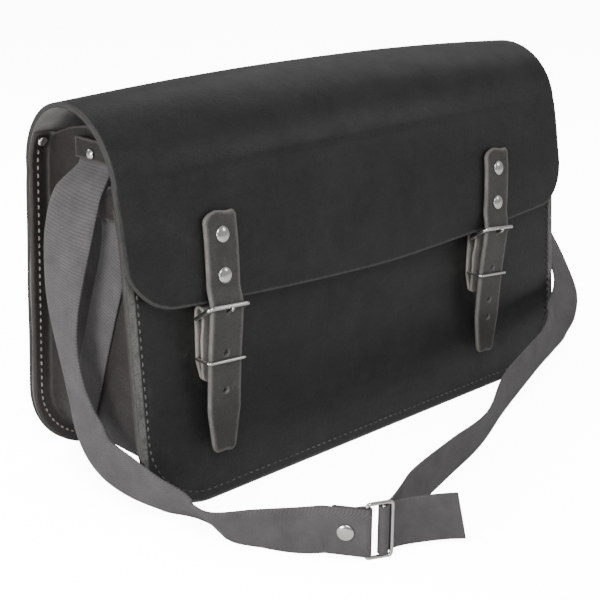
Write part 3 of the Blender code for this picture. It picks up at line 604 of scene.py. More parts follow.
class Graph:
    """A node tree being wired: short calls that add a node, fill its inputs and return its output."""

    def __init__(self, tree: Tree) -> None:
        """Wire into a tree."""
        self.tree = tree

    def node(self, kind: str, inputs: dict | None = None, **settings) -> Node:
        """Add a node.

        Args:
            kind: its type, without the ShaderNode in front.
            inputs: values or sockets by input name or number.
            settings: properties of the node.

        Returns:
            The node.
        """
        made = self.tree.nodes.new("ShaderNode" + kind)
        for key, value in settings.items():
            setattr(made, key, value)
        for key, value in (inputs or {}).items():
            if isinstance(value, Socket):
                self.link(value, made, key)
            else:
                made.inputs[key].default_value = value
        return made

    def link(self, value: Socket, node: Node, name: str | int) -> None:
        """Wire a value into a node's input."""
        self.tree.links.new(value, node.inputs[name])

    def bump(self, shader: Node, height: Socket, distance: float, strength: float) -> None:
        """Bend a shader's normal by a height.

        Args:
            shader: the shader.
            height: the height, in shares of the distance.
            distance: depth of the relief.
            strength: how much of it shows.
        """
        made = self.node("Bump", {"Height": height, "Distance": distance, "Strength": strength})
        self.link(made.outputs["Normal"], shader, "Normal")

    def math(self, operation: str, first: Socket | float, second: Socket | float = 0.0) -> Socket:
        """Arithmetic on two values."""
        return self.node("Math", {0: first, 1: second}, operation=operation).outputs[0]

    def span(self, value: Socket, low: float, high: float, start: float = 0.0, end: float = 1.0) -> Socket:
        """Value carried from the range low to high onto the range start to end, held at its ends.

        Args:
            value: the value.
            low: where the range starts.
            high: where the range ends.
            start: result at low.
            end: result at high.

        Returns:
            The result.
        """
        inputs = {"Value": value, "From Min": low, "From Max": high, "To Min": start, "To Max": end}
        return self.node("MapRange", inputs).outputs["Result"]

    def mix(self, share: Socket | float, first: Socket | tuple, second: Socket | tuple) -> Socket:
        """Colour a share of the way from the first to the second."""
        return self.node("Mix", {0: share, 6: first, 7: second}, data_type="RGBA").outputs[2]

    def noise(self, vector: Socket, scale: float, detail: float = 3.0, rough: float = 0.55) -> Socket:
        """Smooth noise of a scale, in features a metre."""
        inputs = {"Vector": vector, "Scale": scale, "Detail": detail, "Roughness": rough}
        return self.node("TexNoise", inputs).outputs["Fac"]

    def cells(self, vector: Socket, scale: float, feature: str = "F1") -> Socket:
        """Distance inside a pattern of cells of a scale, in cells a metre."""
        return self.node("TexVoronoi", {"Vector": vector, "Scale": scale}, feature=feature).outputs["Distance"]

    def stretched(self, vector: Socket, scale: Triple) -> Socket:
        """Vector times a scale for each axis."""
        return self.node("Mapping", {"Vector": vector, "Scale": scale}).outputs["Vector"]

    def group(self, tree: Tree, **inputs: Socket | float) -> Node:
        """Place a shared effect, with values or sockets by input name."""
        return self.node("Group", inputs, node_tree=tree)


def effect_group(name: str, inputs: dict[str, str], outputs: dict[str, str]) -> tuple:
    """Empty node group with named sockets.

    Args:
        name: the group's name.
        inputs: socket kind by name.
        outputs: socket kind by name.

    Returns:
        The group, its graph, its input node and its output node.
    """
    group = bpy.data.node_groups.new(name, "ShaderNodeTree")
    for label, kind in inputs.items():
        group.interface.new_socket(label, in_out="INPUT", socket_type="NodeSocket" + kind)
    for label, kind in outputs.items():
        group.interface.new_socket(label, in_out="OUTPUT", socket_type="NodeSocket" + kind)
    return group, Graph(group), group.nodes.new("NodeGroupInput"), group.nodes.new("NodeGroupOutput")


def grain_group() -> Tree:
    """Leather grain: small pebbles from cell distance, creases from noise, pores from finer noise.

    Returns:
        The group, with a height and a mask of the hollows.
    """
    group, graph, given, result = effect_group(
        "leather_grain", {"Vector": "Vector", "Pebble": "Float", "Crease": "Float"},
        {"Height": "Float", "Hollow": "Float"},
    )
    vector = given.outputs["Vector"]
    wander = graph.math("MULTIPLY", graph.noise(vector, 260.0, 2.0), 0.002)
    bend = graph.node("CombineXYZ", {0: wander, 2: wander}).outputs[0]
    bent = graph.node("VectorMath", {0: vector, 1: bend}, operation="ADD").outputs[0]
    pebble = graph.span(graph.cells(bent, 1150.0), 0.0, 0.75, 1.0, 0.0)
    crease = graph.span(graph.noise(vector, 95.0, 5.0, 0.62), 0.30, 0.70)
    fine = graph.noise(vector, 2300.0, 2.0)
    height = graph.math("ADD", graph.math("MULTIPLY", pebble, given.outputs["Pebble"]),
                        graph.math("MULTIPLY", crease, given.outputs["Crease"]))
    height = graph.math("ADD", height, graph.math("MULTIPLY", fine, 0.3))
    graph.link(height, result, "Height")
    graph.link(graph.span(pebble, 0.0, 0.5, 1.0, 0.0), result, "Hollow")
    return group


def wear_group() -> Tree:
    """Edge wear: one at the edge, falling to zero over a width that noise makes ragged; and dusty scuffs.

    Returns:
        The group, with a mask of worn edges and one of scuffs.
    """
    group, graph, given, result = effect_group(
        "leather_wear", {"Vector": "Vector", "Edge": "Float", "Width": "Float", "Scuffs": "Float"},
        {"Worn": "Float", "Scuffed": "Float"},
    )
    vector = given.outputs["Vector"]
    ragged = graph.span(graph.noise(vector, 420.0, 4.0, 0.7), 0.25, 0.75, 0.35, 1.65)
    width = graph.math("MULTIPLY", given.outputs["Width"], ragged)
    worn = graph.math("SUBTRACT", 1.0, graph.math("DIVIDE", given.outputs["Edge"], width))
    worn = graph.math("MAXIMUM", worn, 0.0)
    streak = graph.noise(graph.stretched(vector, (1.0, 1.0, 0.35)), 160.0, 6.0, 0.72)
    patch = graph.noise(vector, 14.0, 2.0)
    scuffed = graph.math("MULTIPLY", graph.span(streak, 0.56, 0.78), graph.span(patch, 0.42, 0.72))
    scuffed = graph.math("MULTIPLY", scuffed, given.outputs["Scuffs"])
    graph.link(worn, result, "Worn")
    graph.link(scuffed, result, "Scuffed")
    return group


def weave_group() -> Tree:
    """Plain weave: warp threads as a sine across, weft ribs as a sine along, each hiding where the other rises.

    Returns:
        The group, with a height and a mask of the gaps between threads.
    """
    group, graph, given, result = effect_group(
        "webbing_weave", {"Across": "Float", "Along": "Float", "Pitch": "Float"}, {"Height": "Float", "Gap": "Float"}
    )
    turns = graph.math("DIVIDE", 2 * pi, given.outputs["Pitch"])
    across = graph.math("SINE", graph.math("MULTIPLY", given.outputs["Across"], turns))
    along = graph.math("SINE", graph.math("MULTIPLY", given.outputs["Along"], turns))
    over = graph.math("MULTIPLY", across, along)
    height = graph.math("ADD", graph.math("ABSOLUTE", over), graph.math("MULTIPLY", over, 0.35))
    gap = graph.span(graph.math("ABSOLUTE", over), 0.0, 0.30, 1.0, 0.0)
    graph.link(height, result, "Height")
    graph.link(gap, result, "Gap")
    return group


@dataclass(frozen=True)
class Effects:
    """Node groups that the materials share."""

    grain: Tree
    wear: Tree
    weave: Tree

    @staticmethod
    def build() -> "Effects":
        """Build the three groups once."""
        return Effects(grain_group(), wear_group(), weave_group())


def new_material(name: str, preview: Triple) -> tuple[Material, Graph, Node, Socket]:
    """Material with a bare Principled shader.

    Args:
        name: the material's name.
        preview: its colour in the viewport.

    Returns:
        The material, its graph, its shader and the Object coordinates.
    """
    material = bpy.data.materials.new(name)
    material.use_nodes = True
    material.diffuse_color = (*preview, 1.0)
    graph = Graph(material.node_tree)
    vector = graph.node("TexCoord").outputs["Object"]
    return material, graph, material.node_tree.nodes["Principled BSDF"], vector


def faded(colour: Triple, share: float = 1.0) -> tuple[float, float, float, float]:
    """Colour times a share, with full alpha."""
    return (*(value * share for value in colour), 1.0)


@dataclass(frozen=True)
class LeatherFinish:
    """Dyed leather: its grain side, its raw cut rim and its fleshy inner side."""

    name: str
    colour: Triple
    bloom: Triple
    worn: Triple
    rim: Triple
    flesh: Triple
    roughness: float
    specular: float
    pebble: float
    crease: float
    depth: float
    scuffs: float
    wear_width: float = 0.0016
    # Colour that the grain turns towards the bottom, up to a height: painted light, lighter towards the floor; on
    # the gusset it leaves the walls' tops darker as painted shade under the flap
    bottom_light: Triple = (0.0, 0.0, 0.0)
    bottom_light_height: float = 0.0
    border_from: float = 0.0
    border_share: float = 0.8
    border_fade: float = 0.0012

    def skins(self, effects: Effects) -> list[Material]:
        """The grain, rim and flesh materials, in the order of the slots."""
        return [self.grain_side(effects), self.cut_rim(), self.flesh_side()]

    def grain_side(self, effects: Effects) -> Material:
        """Dyed and waxed grain with a cloudy bloom, scuffs and worn edges.

        Args:
            effects: shared node groups.

        Returns:
            The material.
        """
        material, graph, shader, vector = new_material(self.name + "_grain", self.colour)
        edge = graph.node("Attribute", attribute_name="edge").outputs["Fac"]
        grain = graph.group(effects.grain, Vector=vector, Pebble=self.pebble, Crease=self.crease)
        wear = graph.group(effects.wear, Vector=vector, Edge=edge, Width=self.wear_width, Scuffs=self.scuffs)
        place = graph.node("SeparateXYZ", {0: vector})
        cloud = graph.span(graph.noise(vector, 26.0, 8.0, 0.72), 0.34, 0.68)
        colour = graph.mix(cloud, faded(self.colour), faded(self.bloom))
        # Painted light: the grain lighter towards the floor, in ragged patches, up to a height
        if self.bottom_light_height:
            low = graph.span(place.outputs[2], 0.0, self.bottom_light_height, 1.0, 0.0)
            low = graph.math("MULTIPLY", low, graph.span(graph.noise(vector, 48.0, 6.0, 0.7), 0.25, 0.65, 0.35, 1.0))
            colour = graph.mix(low, colour, faded(self.bottom_light))
        if self.border_from:
            side = graph.math("ABSOLUTE", place.outputs[0])
            border = graph.span(side, self.border_from, self.border_from + self.border_fade)
            ragged = graph.span(graph.noise(vector, 150.0, 5.0, 0.7), 0.3, 0.6, 0.3, 1.0)
            border = graph.math("MULTIPLY", border, ragged)
            border = graph.math("MINIMUM", graph.math("MULTIPLY", border, self.border_share), 1.0)
            colour = graph.mix(border, colour, faded(self.worn))
        # Painted shade: the grain's hollows darkened to half the leather's colour
        hollow_shade = graph.math("MULTIPLY", grain.outputs["Hollow"], 0.35)
        colour = graph.mix(hollow_shade, colour, faded(self.colour, 0.5))
        colour = graph.mix(wear.outputs["Scuffed"], colour, faded(self.worn))
        colour = graph.mix(graph.math("MULTIPLY", wear.outputs["Worn"], 0.8), colour, faded(self.worn))
        graph.link(colour, shader, "Base Color")
        shine = graph.noise(vector, 60.0, 4.0, 0.6)
        dull = graph.span(shine, 0.3, 0.7, self.roughness - 0.04, self.roughness + 0.06)
        dull = graph.math("ADD", dull, graph.math("MULTIPLY", wear.outputs["Scuffed"], 0.18))
        dull = graph.math("ADD", dull, graph.math("MULTIPLY", wear.outputs["Worn"], 0.15))
        graph.link(dull, shader, "Roughness")
        shader.inputs["Specular IOR Level"].default_value = self.specular
        graph.bump(shader, grain.outputs["Height"], self.depth, 1.0)
        return material

    def cut_rim(self) -> Material:
        """Raw cut edge: layered fibres, lighter and duller than the grain."""
        material, graph, shader, vector = new_material(self.name + "_rim", self.rim)
        fibre = graph.noise(vector, 1500.0, 4.0, 0.7)
        patch = graph.span(graph.noise(vector, 130.0, 4.0, 0.6), 0.3, 0.7)
        colour = graph.mix(patch, faded(self.rim, 0.62), faded(self.rim))
        colour = graph.mix(graph.span(fibre, 0.35, 0.75, 0.0, 0.5), colour, faded(self.worn))
        graph.link(colour, shader, "Base Color")
        shader.inputs["Roughness"].default_value = 0.78
        shader.inputs["Specular IOR Level"].default_value = 0.3
        graph.bump(shader, fibre, 0.0002, 0.8)
        return material

    def flesh_side(self) -> Material:
        """Fleshy inner side: short suede nap, mottled."""
        material, graph, shader, vector = new_material(self.name + "_flesh", self.flesh)
        nap = graph.noise(vector, 1900.0, 4.0, 0.75)
        patch = graph.span(graph.noise(vector, 60.0, 5.0, 0.65), 0.32, 0.70)
        colour = graph.mix(patch, faded(self.flesh, 0.60), faded(self.flesh))
        colour = graph.mix(graph.span(nap, 0.3, 0.7, 0.0, 0.35), colour, faded(self.flesh, 1.35))
        graph.link(colour, shader, "Base Color")
        shader.inputs["Roughness"].default_value = 0.92
        shader.inputs["Specular IOR Level"].default_value = 0.2
        shader.inputs["Sheen Weight"].default_value = 0.25
        graph.bump(shader, nap, 0.0004, 0.9)
        return material


@dataclass(frozen=True)
class WebbingFinish:
    """Woven webbing with cross ribs, read from its own flat map in metres."""

    name: str
    colour: Triple
    # Colour of the painted shade in the rib troughs and between the threads
    gap: Triple
    rib_pitch: float
    thread_pitch: float = 0.0016
    roughness: float = 0.82

    def material(self, effects: Effects) -> Material:
        """Build the material.

        Args:
            effects: shared node groups.

        Returns:
            The material.
        """
        material, graph, shader, vector = new_material(self.name, self.colour)
        flat = graph.node("SeparateXYZ", {0: graph.node("UVMap", uv_map="surface").outputs[0]})
        weave = graph.group(effects.weave, Across=flat.outputs[0], Along=flat.outputs[1], Pitch=self.thread_pitch)
        rib = graph.math("COSINE", graph.math("MULTIPLY", flat.outputs[1], 2 * pi / self.rib_pitch))
        cloud = graph.span(graph.noise(vector, 70.0, 5.0, 0.65), 0.3, 0.7, 0.78, 1.18)
        fuzz = graph.span(graph.noise(vector, 2400.0, 3.0, 0.7), 0.3, 0.7, 0.82, 1.15)
        tint = graph.math("MULTIPLY", cloud, fuzz)
        base = graph.node("VectorMath", {0: self.colour, "Scale": tint}, operation="SCALE").outputs[0]
        # Painted shade: darker in the troughs between the cross ribs and in the gaps between threads
        hollow_shade = graph.math("MAXIMUM", graph.span(rib, -1.0, 0.0, 0.50, 0.0),
                            graph.math("MULTIPLY", weave.outputs["Gap"], 0.60))
        graph.link(graph.mix(hollow_shade, base, faded(self.gap)), shader, "Base Color")
        shader.inputs["Roughness"].default_value = self.roughness
        shader.inputs["Specular IOR Level"].default_value = 0.3
        shader.inputs["Sheen Weight"].default_value = 0.15
        height = graph.math("ADD", weave.outputs["Height"], graph.math("MULTIPLY", fuzz, 0.5))
        graph.bump(shader, height, 0.00018, 0.9)
        return material


@dataclass(frozen=True)
class MetalFinish:
    """Plated metal, polished, with fine handling marks and dulled patches."""

    name: str
    colour: Triple
    dulled: Triple
    roughness: float = 0.11

    def material(self) -> Material:
        """Build the material."""
        material, graph, shader, vector = new_material(self.name, self.colour)
        patch = graph.span(graph.noise(vector, 210.0, 4.0, 0.6), 0.48, 0.76)
        scratch = graph.noise(graph.stretched(vector, (1.0, 0.2, 1.0)), 2600.0, 3.0, 0.7)
        graph.link(graph.mix(patch, faded(self.colour), faded(self.dulled)), shader, "Base Color")
        rough = graph.math("ADD", graph.span(patch, 0.0, 1.0, self.roughness, self.roughness + 0.16),
                           graph.span(scratch, 0.4, 0.8, 0.0, 0.08))
        graph.link(rough, shader, "Roughness")
        shader.inputs["Metallic"].default_value = 1.0
        graph.bump(shader, scratch, 0.000003, 0.25)
        return material


@dataclass(frozen=True)
class ThreadFinish:
    """Waxed sewing thread: two plies twisted round each other."""

    name: str
    colour: Triple
    shade: Triple
    twist: float = 0.0011

    def material(self) -> Material:
        """Build the material."""
        material, graph, shader, vector = new_material(self.name, self.colour)
        flat = graph.node("SeparateXYZ", {0: graph.node("UVMap", uv_map="surface").outputs[0]})
        turn = graph.math("ADD", graph.math("MULTIPLY", flat.outputs[0], 4 * pi),
                          graph.math("MULTIPLY", flat.outputs[1], 2 * pi / self.twist))
        ply = graph.math("SINE", turn)
        soil = graph.span(graph.noise(vector, 190.0, 4.0, 0.65), 0.38, 0.68, 0.0, 0.75)
        colour = graph.mix(graph.span(ply, -1.0, 0.0, 0.6, 0.0), faded(self.colour), faded(self.shade))
        graph.link(graph.mix(soil, colour, faded(self.shade)), shader, "Base Color")
        shader.inputs["Roughness"].default_value = 0.7
        graph.bump(shader, ply, 0.00008, 0.8)
        return material


@dataclass(frozen=True)
class FloorFinish:
    """Plain pale studio floor, which the lens sees overexposed."""

    name: str = "studio_floor"
    colour: Triple = (0.93, 0.93, 0.93)
    glow: float = 9.0
    gain: float = 9.0

    def material(self) -> Material:
        """Build the material."""
        material, graph, shader, vector = new_material(self.name, self.colour)
        tint = graph.noise(vector, 2.0, 2.0)
        colour = graph.mix(tint, faded(self.colour), faded(self.colour, 0.995))
        graph.link(colour, shader, "Base Color")
        shader.inputs["Roughness"].default_value = 0.9
        shader.inputs["Specular IOR Level"].default_value = 0.1
        bright = graph.node("AddShader", {
            0: graph.node("Emission", {"Strength": self.glow}).outputs[0],
            1: graph.node("BsdfDiffuse", {"Color": faded(self.colour, self.gain)}).outputs[0],
        })
        seen = graph.node("LightPath").outputs["Is Camera Ray"]
        both = graph.node("MixShader", {0: seen, 1: shader.outputs[0], 2: bright.outputs[0]})
        graph.link(both.outputs[0], material.node_tree.nodes["Material Output"], "Surface")
        return material


@dataclass(frozen=True)
class Wardrobe:
    """Every finish of the bag, as materials."""

    panel: list[Material]
    flap: list[Material]
    gusset: list[Material]
    strap: list[Material]
    chape: list[Material]
    webbing: Material
    metal: Material
    front_thread: Material
    back_thread: Material
    floor: Material

    @staticmethod
    def build(rib_pitch: float, panel_border: float, flap_border: float) -> "Wardrobe":
        """Build every material once.

        Args:
            rib_pitch: distance between the webbing's ribs.
            panel_border: distance from the middle where the front panel's pressed side borders start.
            flap_border: distance from the middle where the flap's worn side edges start.

        Returns:
            The materials.
        """
        effects = Effects.build()
        black = LeatherFinish(
            "black_leather", colour=(0.0165, 0.0178, 0.0164), bloom=(0.0310, 0.0325, 0.0303),
            worn=(0.105, 0.104, 0.100), rim=(0.070, 0.068, 0.065), flesh=(0.46, 0.44, 0.43),
            roughness=0.36, specular=0.45, pebble=0.40, crease=0.9, depth=0.00016, scuffs=0.35,
            # Painted light: lighter towards the floor
            bottom_light=(0.042, 0.044, 0.042), bottom_light_height=0.090, border_from=flap_border,
        )
        return Wardrobe(
            flap=black.skins(effects),
            panel=replace(
                black, name="panel_leather", worn=(0.22, 0.217, 0.208), scuffs=0.22,
                border_from=panel_border, border_share=1.25
            ).skins(effects),
            gusset=LeatherFinish(
                "gusset_leather", colour=(0.020, 0.0165, 0.0160), bloom=(0.042, 0.035, 0.034),
                worn=(0.12, 0.108, 0.102), rim=(0.080, 0.070, 0.066), flesh=(0.16, 0.15, 0.145),
                roughness=0.50, specular=0.45, pebble=0.6, crease=0.9, depth=0.00018, scuffs=0.6,
                # Painted light over the lower walls; their tops stay dark as painted shade under the flap
                bottom_light=(0.085, 0.080, 0.076), bottom_light_height=0.175,
            ).skins(effects),
            strap=LeatherFinish(
                "strap_leather", colour=(0.060, 0.057, 0.054), bloom=(0.095, 0.090, 0.086),
                worn=(0.21, 0.20, 0.19), rim=(0.27, 0.255, 0.24), flesh=(0.12, 0.115, 0.11),
                roughness=0.46, specular=0.5, pebble=0.45, crease=0.9, depth=0.00015, wear_width=0.0022, scuffs=0.9,
            ).skins(effects),
            chape=LeatherFinish(
                "chape_leather", colour=(0.31, 0.292, 0.275), bloom=(0.34, 0.32, 0.30),
                worn=(0.46, 0.43, 0.40), rim=(0.42, 0.39, 0.36), flesh=(0.30, 0.28, 0.26),
                roughness=0.58, specular=0.4, pebble=0.5, crease=1.2, depth=0.0002, wear_width=0.0020, scuffs=1.0,
            ).skins(effects),
            webbing=WebbingFinish(
                "webbing", colour=(0.165, 0.156, 0.157), gap=(0.048, 0.044, 0.045), rib_pitch=rib_pitch
            ).material(effects),
            metal=MetalFinish("nickel", colour=(0.94, 0.93, 0.90), dulled=(0.76, 0.74, 0.69)).material(),
            front_thread=ThreadFinish("front_thread", (0.19, 0.184, 0.178), (0.05, 0.048, 0.046)).material(),
            back_thread=ThreadFinish("back_thread", (0.50, 0.42, 0.40), (0.16, 0.13, 0.12)).material(),
            floor=FloorFinish().material(),
        )


# ---- body of the bag


@dataclass(frozen=True)
class BagShape:
    """Sizes of the bag's body and the surfaces that its panels, arch and flap lie in."""

    width: float = 0.400
    depth: float = 0.126
    height: float = 0.2445
    top_bow: float = 0.0065
    leather: float = 0.003
    corner: float = 0.051
    front_lean: float = 0.080
    back_lean: float = 0.074
    front_top: float = 0.190
    clearance: float = 0.0003
    flap_drop: float = 0.1223
    overhang: float = 0.003
    flap_corner: float = 0.030
    flap_lean: float = 0.200
    flap_smile: float = 0.010
    flap_bulge: float = 0.006
    flap_setback: float = 0.0008
    seam_width: float = 0.0125
    seam_fold: float = 0.0025
    seam_gap: float = 0.0005
    gusset_leather: float = 0.002

    @property
    def half(self) -> float:
        """Half width of the panels."""
        return self.width / 2

    @property
    def wall_x(self) -> float:
        """Distance of the gusset's walls from the middle."""
        return self.half - self.seam_width

    @property
    def flap_edge(self) -> float:
        """Height of the flap's lower edge in its middle."""
        return self.height - self.flap_drop

    @property
    def arch_radius(self) -> float:
        """Radius of the arch over the mouth: the mouth's depth shared between the two leaning faces."""
        lean = self.front_lean + self.back_lean
        return (self.depth - lean * self.height - self.flap_setback) / (2 - lean)

    @property
    def arch_z(self) -> float:
        """Height where the arch starts."""
        return self.height - self.arch_radius

    @property
    def arch_y(self) -> float:
        """Depth of the arch's middle."""
        return float(self.back_line(self.arch_z)) - self.arch_radius

    @property
    def flap_angle(self) -> float:
        """Angle of the flap from upright."""
        return atan(self.flap_lean)

    @property
    def press_z(self) -> float:
        """Height where the flap's inner face meets the front panel's own line."""
        gap = self.flap_line(0.0) + self.leather / cos(self.flap_angle) + self.clearance - self.front_line(0.0)
        return min(gap / (self.front_lean - self.flap_lean), 0.97 * self.front_top)

    def front_line(self, z: Array | float) -> Array | float:
        """Outer face of the flat part of the front panel."""
        return -self.leather / 2 + self.front_lean * z

    def back_line(self, z: Array | float) -> Array | float:
        """Outer face of the flat part of the back panel."""
        return self.depth - self.leather / 2 - self.back_lean * z

    def flap_line(self, z: Array | float) -> Array | float:
        """Outer face of the flap at its side edges, below the arch."""
        start_z = self.arch_z + self.arch_radius * sin(self.flap_angle)
        start_y = self.arch_y - self.arch_radius * cos(self.flap_angle)
        return start_y - self.flap_lean * (start_z - z)

    def front(self, z: Array, inset: float = 0.0) -> Array:
        """Front panel's face, or one that lies inset behind it. The flap presses its top inwards."""
        pressed = self.flap_line(z) + self.leather / cos(self.flap_angle) + self.clearance
        return np.maximum(self.front_line(z), pressed) + inset

    def back(self, z: Array, inset: float = 0.0) -> Array:
        """Back panel's face, or one that lies inset before it, also where it bends into the arch."""
        rise = np.clip(z - self.arch_z, 0.0, None)
        reach = np.sqrt(np.clip((self.arch_radius - inset) ** 2 - rise**2, 0.0, None))
        return np.where(z < self.arch_z, self.back_line(z) - inset, self.arch_y + reach)

    def bulge(self, x: Array, z: Array) -> Array:
        """How far the flap stands forward: a fourth-power bow across times a sine swell down."""
        down = np.clip((self.height - z) / (self.height - self.flap_edge), 0.0, 1.1)
        swell = np.sin(pi * 0.83 * down**0.85)
        return self.flap_bulge * (1 - (np.abs(x) / (self.half + self.overhang)) ** 4) * swell

    def flap(self, x: Array, z: Array) -> Array:
        """Outer face of the front flap."""
        return self.flap_line(z) - self.bulge(x, z)

    def panel_edge(self, z: Array | float) -> Array | float:
        """Half width of the panels at a height, with their rounded lower corners."""
        drop = np.clip(self.corner - z, 0.0, self.corner)
        return self.half - self.corner + np.sqrt(self.corner**2 - drop**2)

    def columns(self) -> Array:
        """Columns from side to side, close together round the corners: even, then as the sine of an angle."""
        flat = np.linspace(0.0, self.half - self.corner, 51)[:-1]
        angle = np.linspace(0.0, pi / 2, 29)
        side = np.concatenate([flat, self.half - self.corner + self.corner * np.sin(angle)])
        return np.concatenate([-side[:0:-1], side])

    @staticmethod
    def corner_rise(x: Array, corner: float, half: float) -> Array:
        """Height of a rounded lower corner above the straight edge beside it."""
        past = np.clip(np.abs(x) - (half - corner), 0.0, corner)
        return corner - np.sqrt(corner**2 - past**2)


@dataclass(frozen=True)
class Body:
    """Front panel, back panel with its flap in one sheet, and the gusset."""

    shape: BagShape
    bulge: float = 0.0009
    wave: float = 0.00022
    gusset_top: Rows = ((0.00, 0.777), (0.10, 0.908), (0.30, 0.933), (0.55, 0.941), (0.80, 0.928), (1.00, 0.904))

    def undulation(self, x: Array, s: Array) -> Array:
        """Slight waves of the hide: products of long sines across and down."""
        return self.wave * (
            np.sin(37.0 * x + 1.3) * np.sin(41.0 * s + 0.4) + 0.6 * np.sin(71.0 * x - 29.0 * s) * np.sin(53.0 * s)
        )

    def front_panel(self, wardrobe: Wardrobe) -> None:
        """Front panel: its face runs from the pressed top edge down the leaning front to the rounded foot.

        Args:
            wardrobe: materials.
        """
        shape = self.shape
        x = shape.columns()
        low = shape.corner_rise(x, shape.corner, shape.half)
        fall = np.linspace(0.0, 1.0, 72)[:, None]
        z = shape.press_z + (low - shape.press_z) * fall
        top = np.broadcast_to(np.linspace(shape.front_top, shape.press_z, 9)[:-1, None], (8, len(x)))
        z = np.concatenate([top, z])
        grid = np.stack([np.broadcast_to(x, z.shape), shape.front(z), z], axis=-1)
        shell = sheet_shell(grid, shape.leather, self.bulge).above_floor()
        place(shell.piece("panel_front", wardrobe.panel), "black_leather", "front_panel")

    def back_flap(self, wardrobe: Wardrobe) -> None:
        """Back, arch and flap in one sheet.

        Up the leaning back, then round the arch as a circle whose height is bowed across by a square law,
        then down the leaning flap with its bow, to an edge with a smile and rounded corners.

        Args:
            wardrobe: materials.
        """
        shape = self.shape
        x = shape.columns()
        share = np.abs(x) / shape.half
        wide = x * (1 + shape.overhang / shape.half)
        low = shape.corner_rise(x, shape.corner, shape.half)
        edge = shape.flap_edge + shape.flap_smile * share**1.5
        edge = edge + shape.corner_rise(wide, shape.flap_corner, shape.half + shape.overhang)
        bow = shape.top_bow * (1 - share**2)
        rise = np.linspace(0.0, 1.0, 66)[:-1, None]
        z = low + (shape.arch_z - low) * rise
        back = np.stack([np.broadcast_to(x, z.shape), shape.back_line(z), z], axis=-1)
        angle = np.linspace(0.0, pi - shape.flap_angle, 57)[:, None]
        z = shape.arch_z + (shape.arch_radius + bow) * np.sin(angle)
        y = shape.arch_y + shape.arch_radius * np.cos(angle) - np.where(angle > pi / 2, shape.bulge(x, z - bow), 0.0)
        arch = np.stack([x + (wide - x) * np.minimum(angle / (pi / 2), 1.0), y, z], axis=-1)
        start = arch[-1, :, 2]
        z = start + (edge - start) * np.linspace(0.0, 1.0, 52)[1:, None]
        flap = np.stack([np.broadcast_to(wide, z.shape), shape.flap(x, z), z], axis=-1)
        grid = np.concatenate([back, arch, flap])
        down, _ = grid_lengths(grid)
        grid[..., 1] += self.undulation(grid[..., 0], down) * np.clip((grid[..., 2] - 0.02) / 0.05, 0.0, 1.0)
        shell = sheet_shell(grid, shape.leather, self.bulge).above_floor()
        place(shell.piece("panel_back_flap", wardrobe.flap), "black_leather", "back_flap")

    def gusset(self, wardrobe: Wardrobe) -> None:
        """Gusset: a section with outward flanges and quarter-circle folds, carried round the U of the bag.

        Args:
            wardrobe: materials.
        """
        shape = self.shape
        fold = np.radians(np.linspace(0.0, 90.0, 7))
        flange = np.linspace(shape.seam_width, shape.seam_fold, 9)[:-1]
        turn_out = shape.seam_fold * (1 - np.sin(fold))
        turn_in = shape.seam_fold * (1 - np.cos(fold))
        wall = np.linspace(1.0, 0.0, 42)[1:-1]
        out = np.concatenate([flange, turn_out, np.zeros(len(wall)), turn_out[::-1], flange[::-1]])
        inner = np.concatenate([np.zeros(len(flange)), turn_in, np.full(len(wall), shape.seam_fold), turn_in[::-1],
                                np.zeros(len(flange))])
        ends = len(flange) + len(fold)
        share = np.concatenate([np.ones(ends), wall, np.zeros(ends)])
        inset = shape.leather + shape.gusset_leather + shape.seam_gap
        tops = lookup(self.gusset_top, share) * shape.height
        corner = shape.corner - shape.seam_width
        flat = np.linspace(0.0, shape.half - shape.corner, 44)[:-1, None]
        angle = np.linspace(0.0, pi / 2, 25)[:, None]
        side = np.linspace(0.0, 1.0, 34)[1:, None]
        upper = np.linspace(0.0, 1.0, 25)[1:, None]
        x = np.concatenate([
            flat + 0 * out,
            shape.half - shape.corner + (corner + out) * np.sin(angle),
            np.broadcast_to(shape.wall_x + out, (len(side) + len(upper), len(out))),
        ])
        z = np.concatenate([
            0 * flat + shape.seam_width - out,
            shape.corner - (corner + out) * np.cos(angle),
            shape.corner + (shape.press_z - shape.corner) * side + 0 * out,
            shape.press_z + (tops - shape.press_z) * upper,
        ])
        front = shape.front(z, inset) + inner
        back = shape.back(z, inset) - inner
        grid = np.stack([x, front + (back - front) * share, z], axis=-1)
        grid = np.concatenate([grid[:0:-1] * np.array([-1.0, 1.0, 1.0]), grid])
        shell = sheet_shell(grid, shape.gusset_leather, 0.0007).above_floor()
        place(shell.piece("gusset_walls", wardrobe.gusset), "gusset_leather", "gusset")


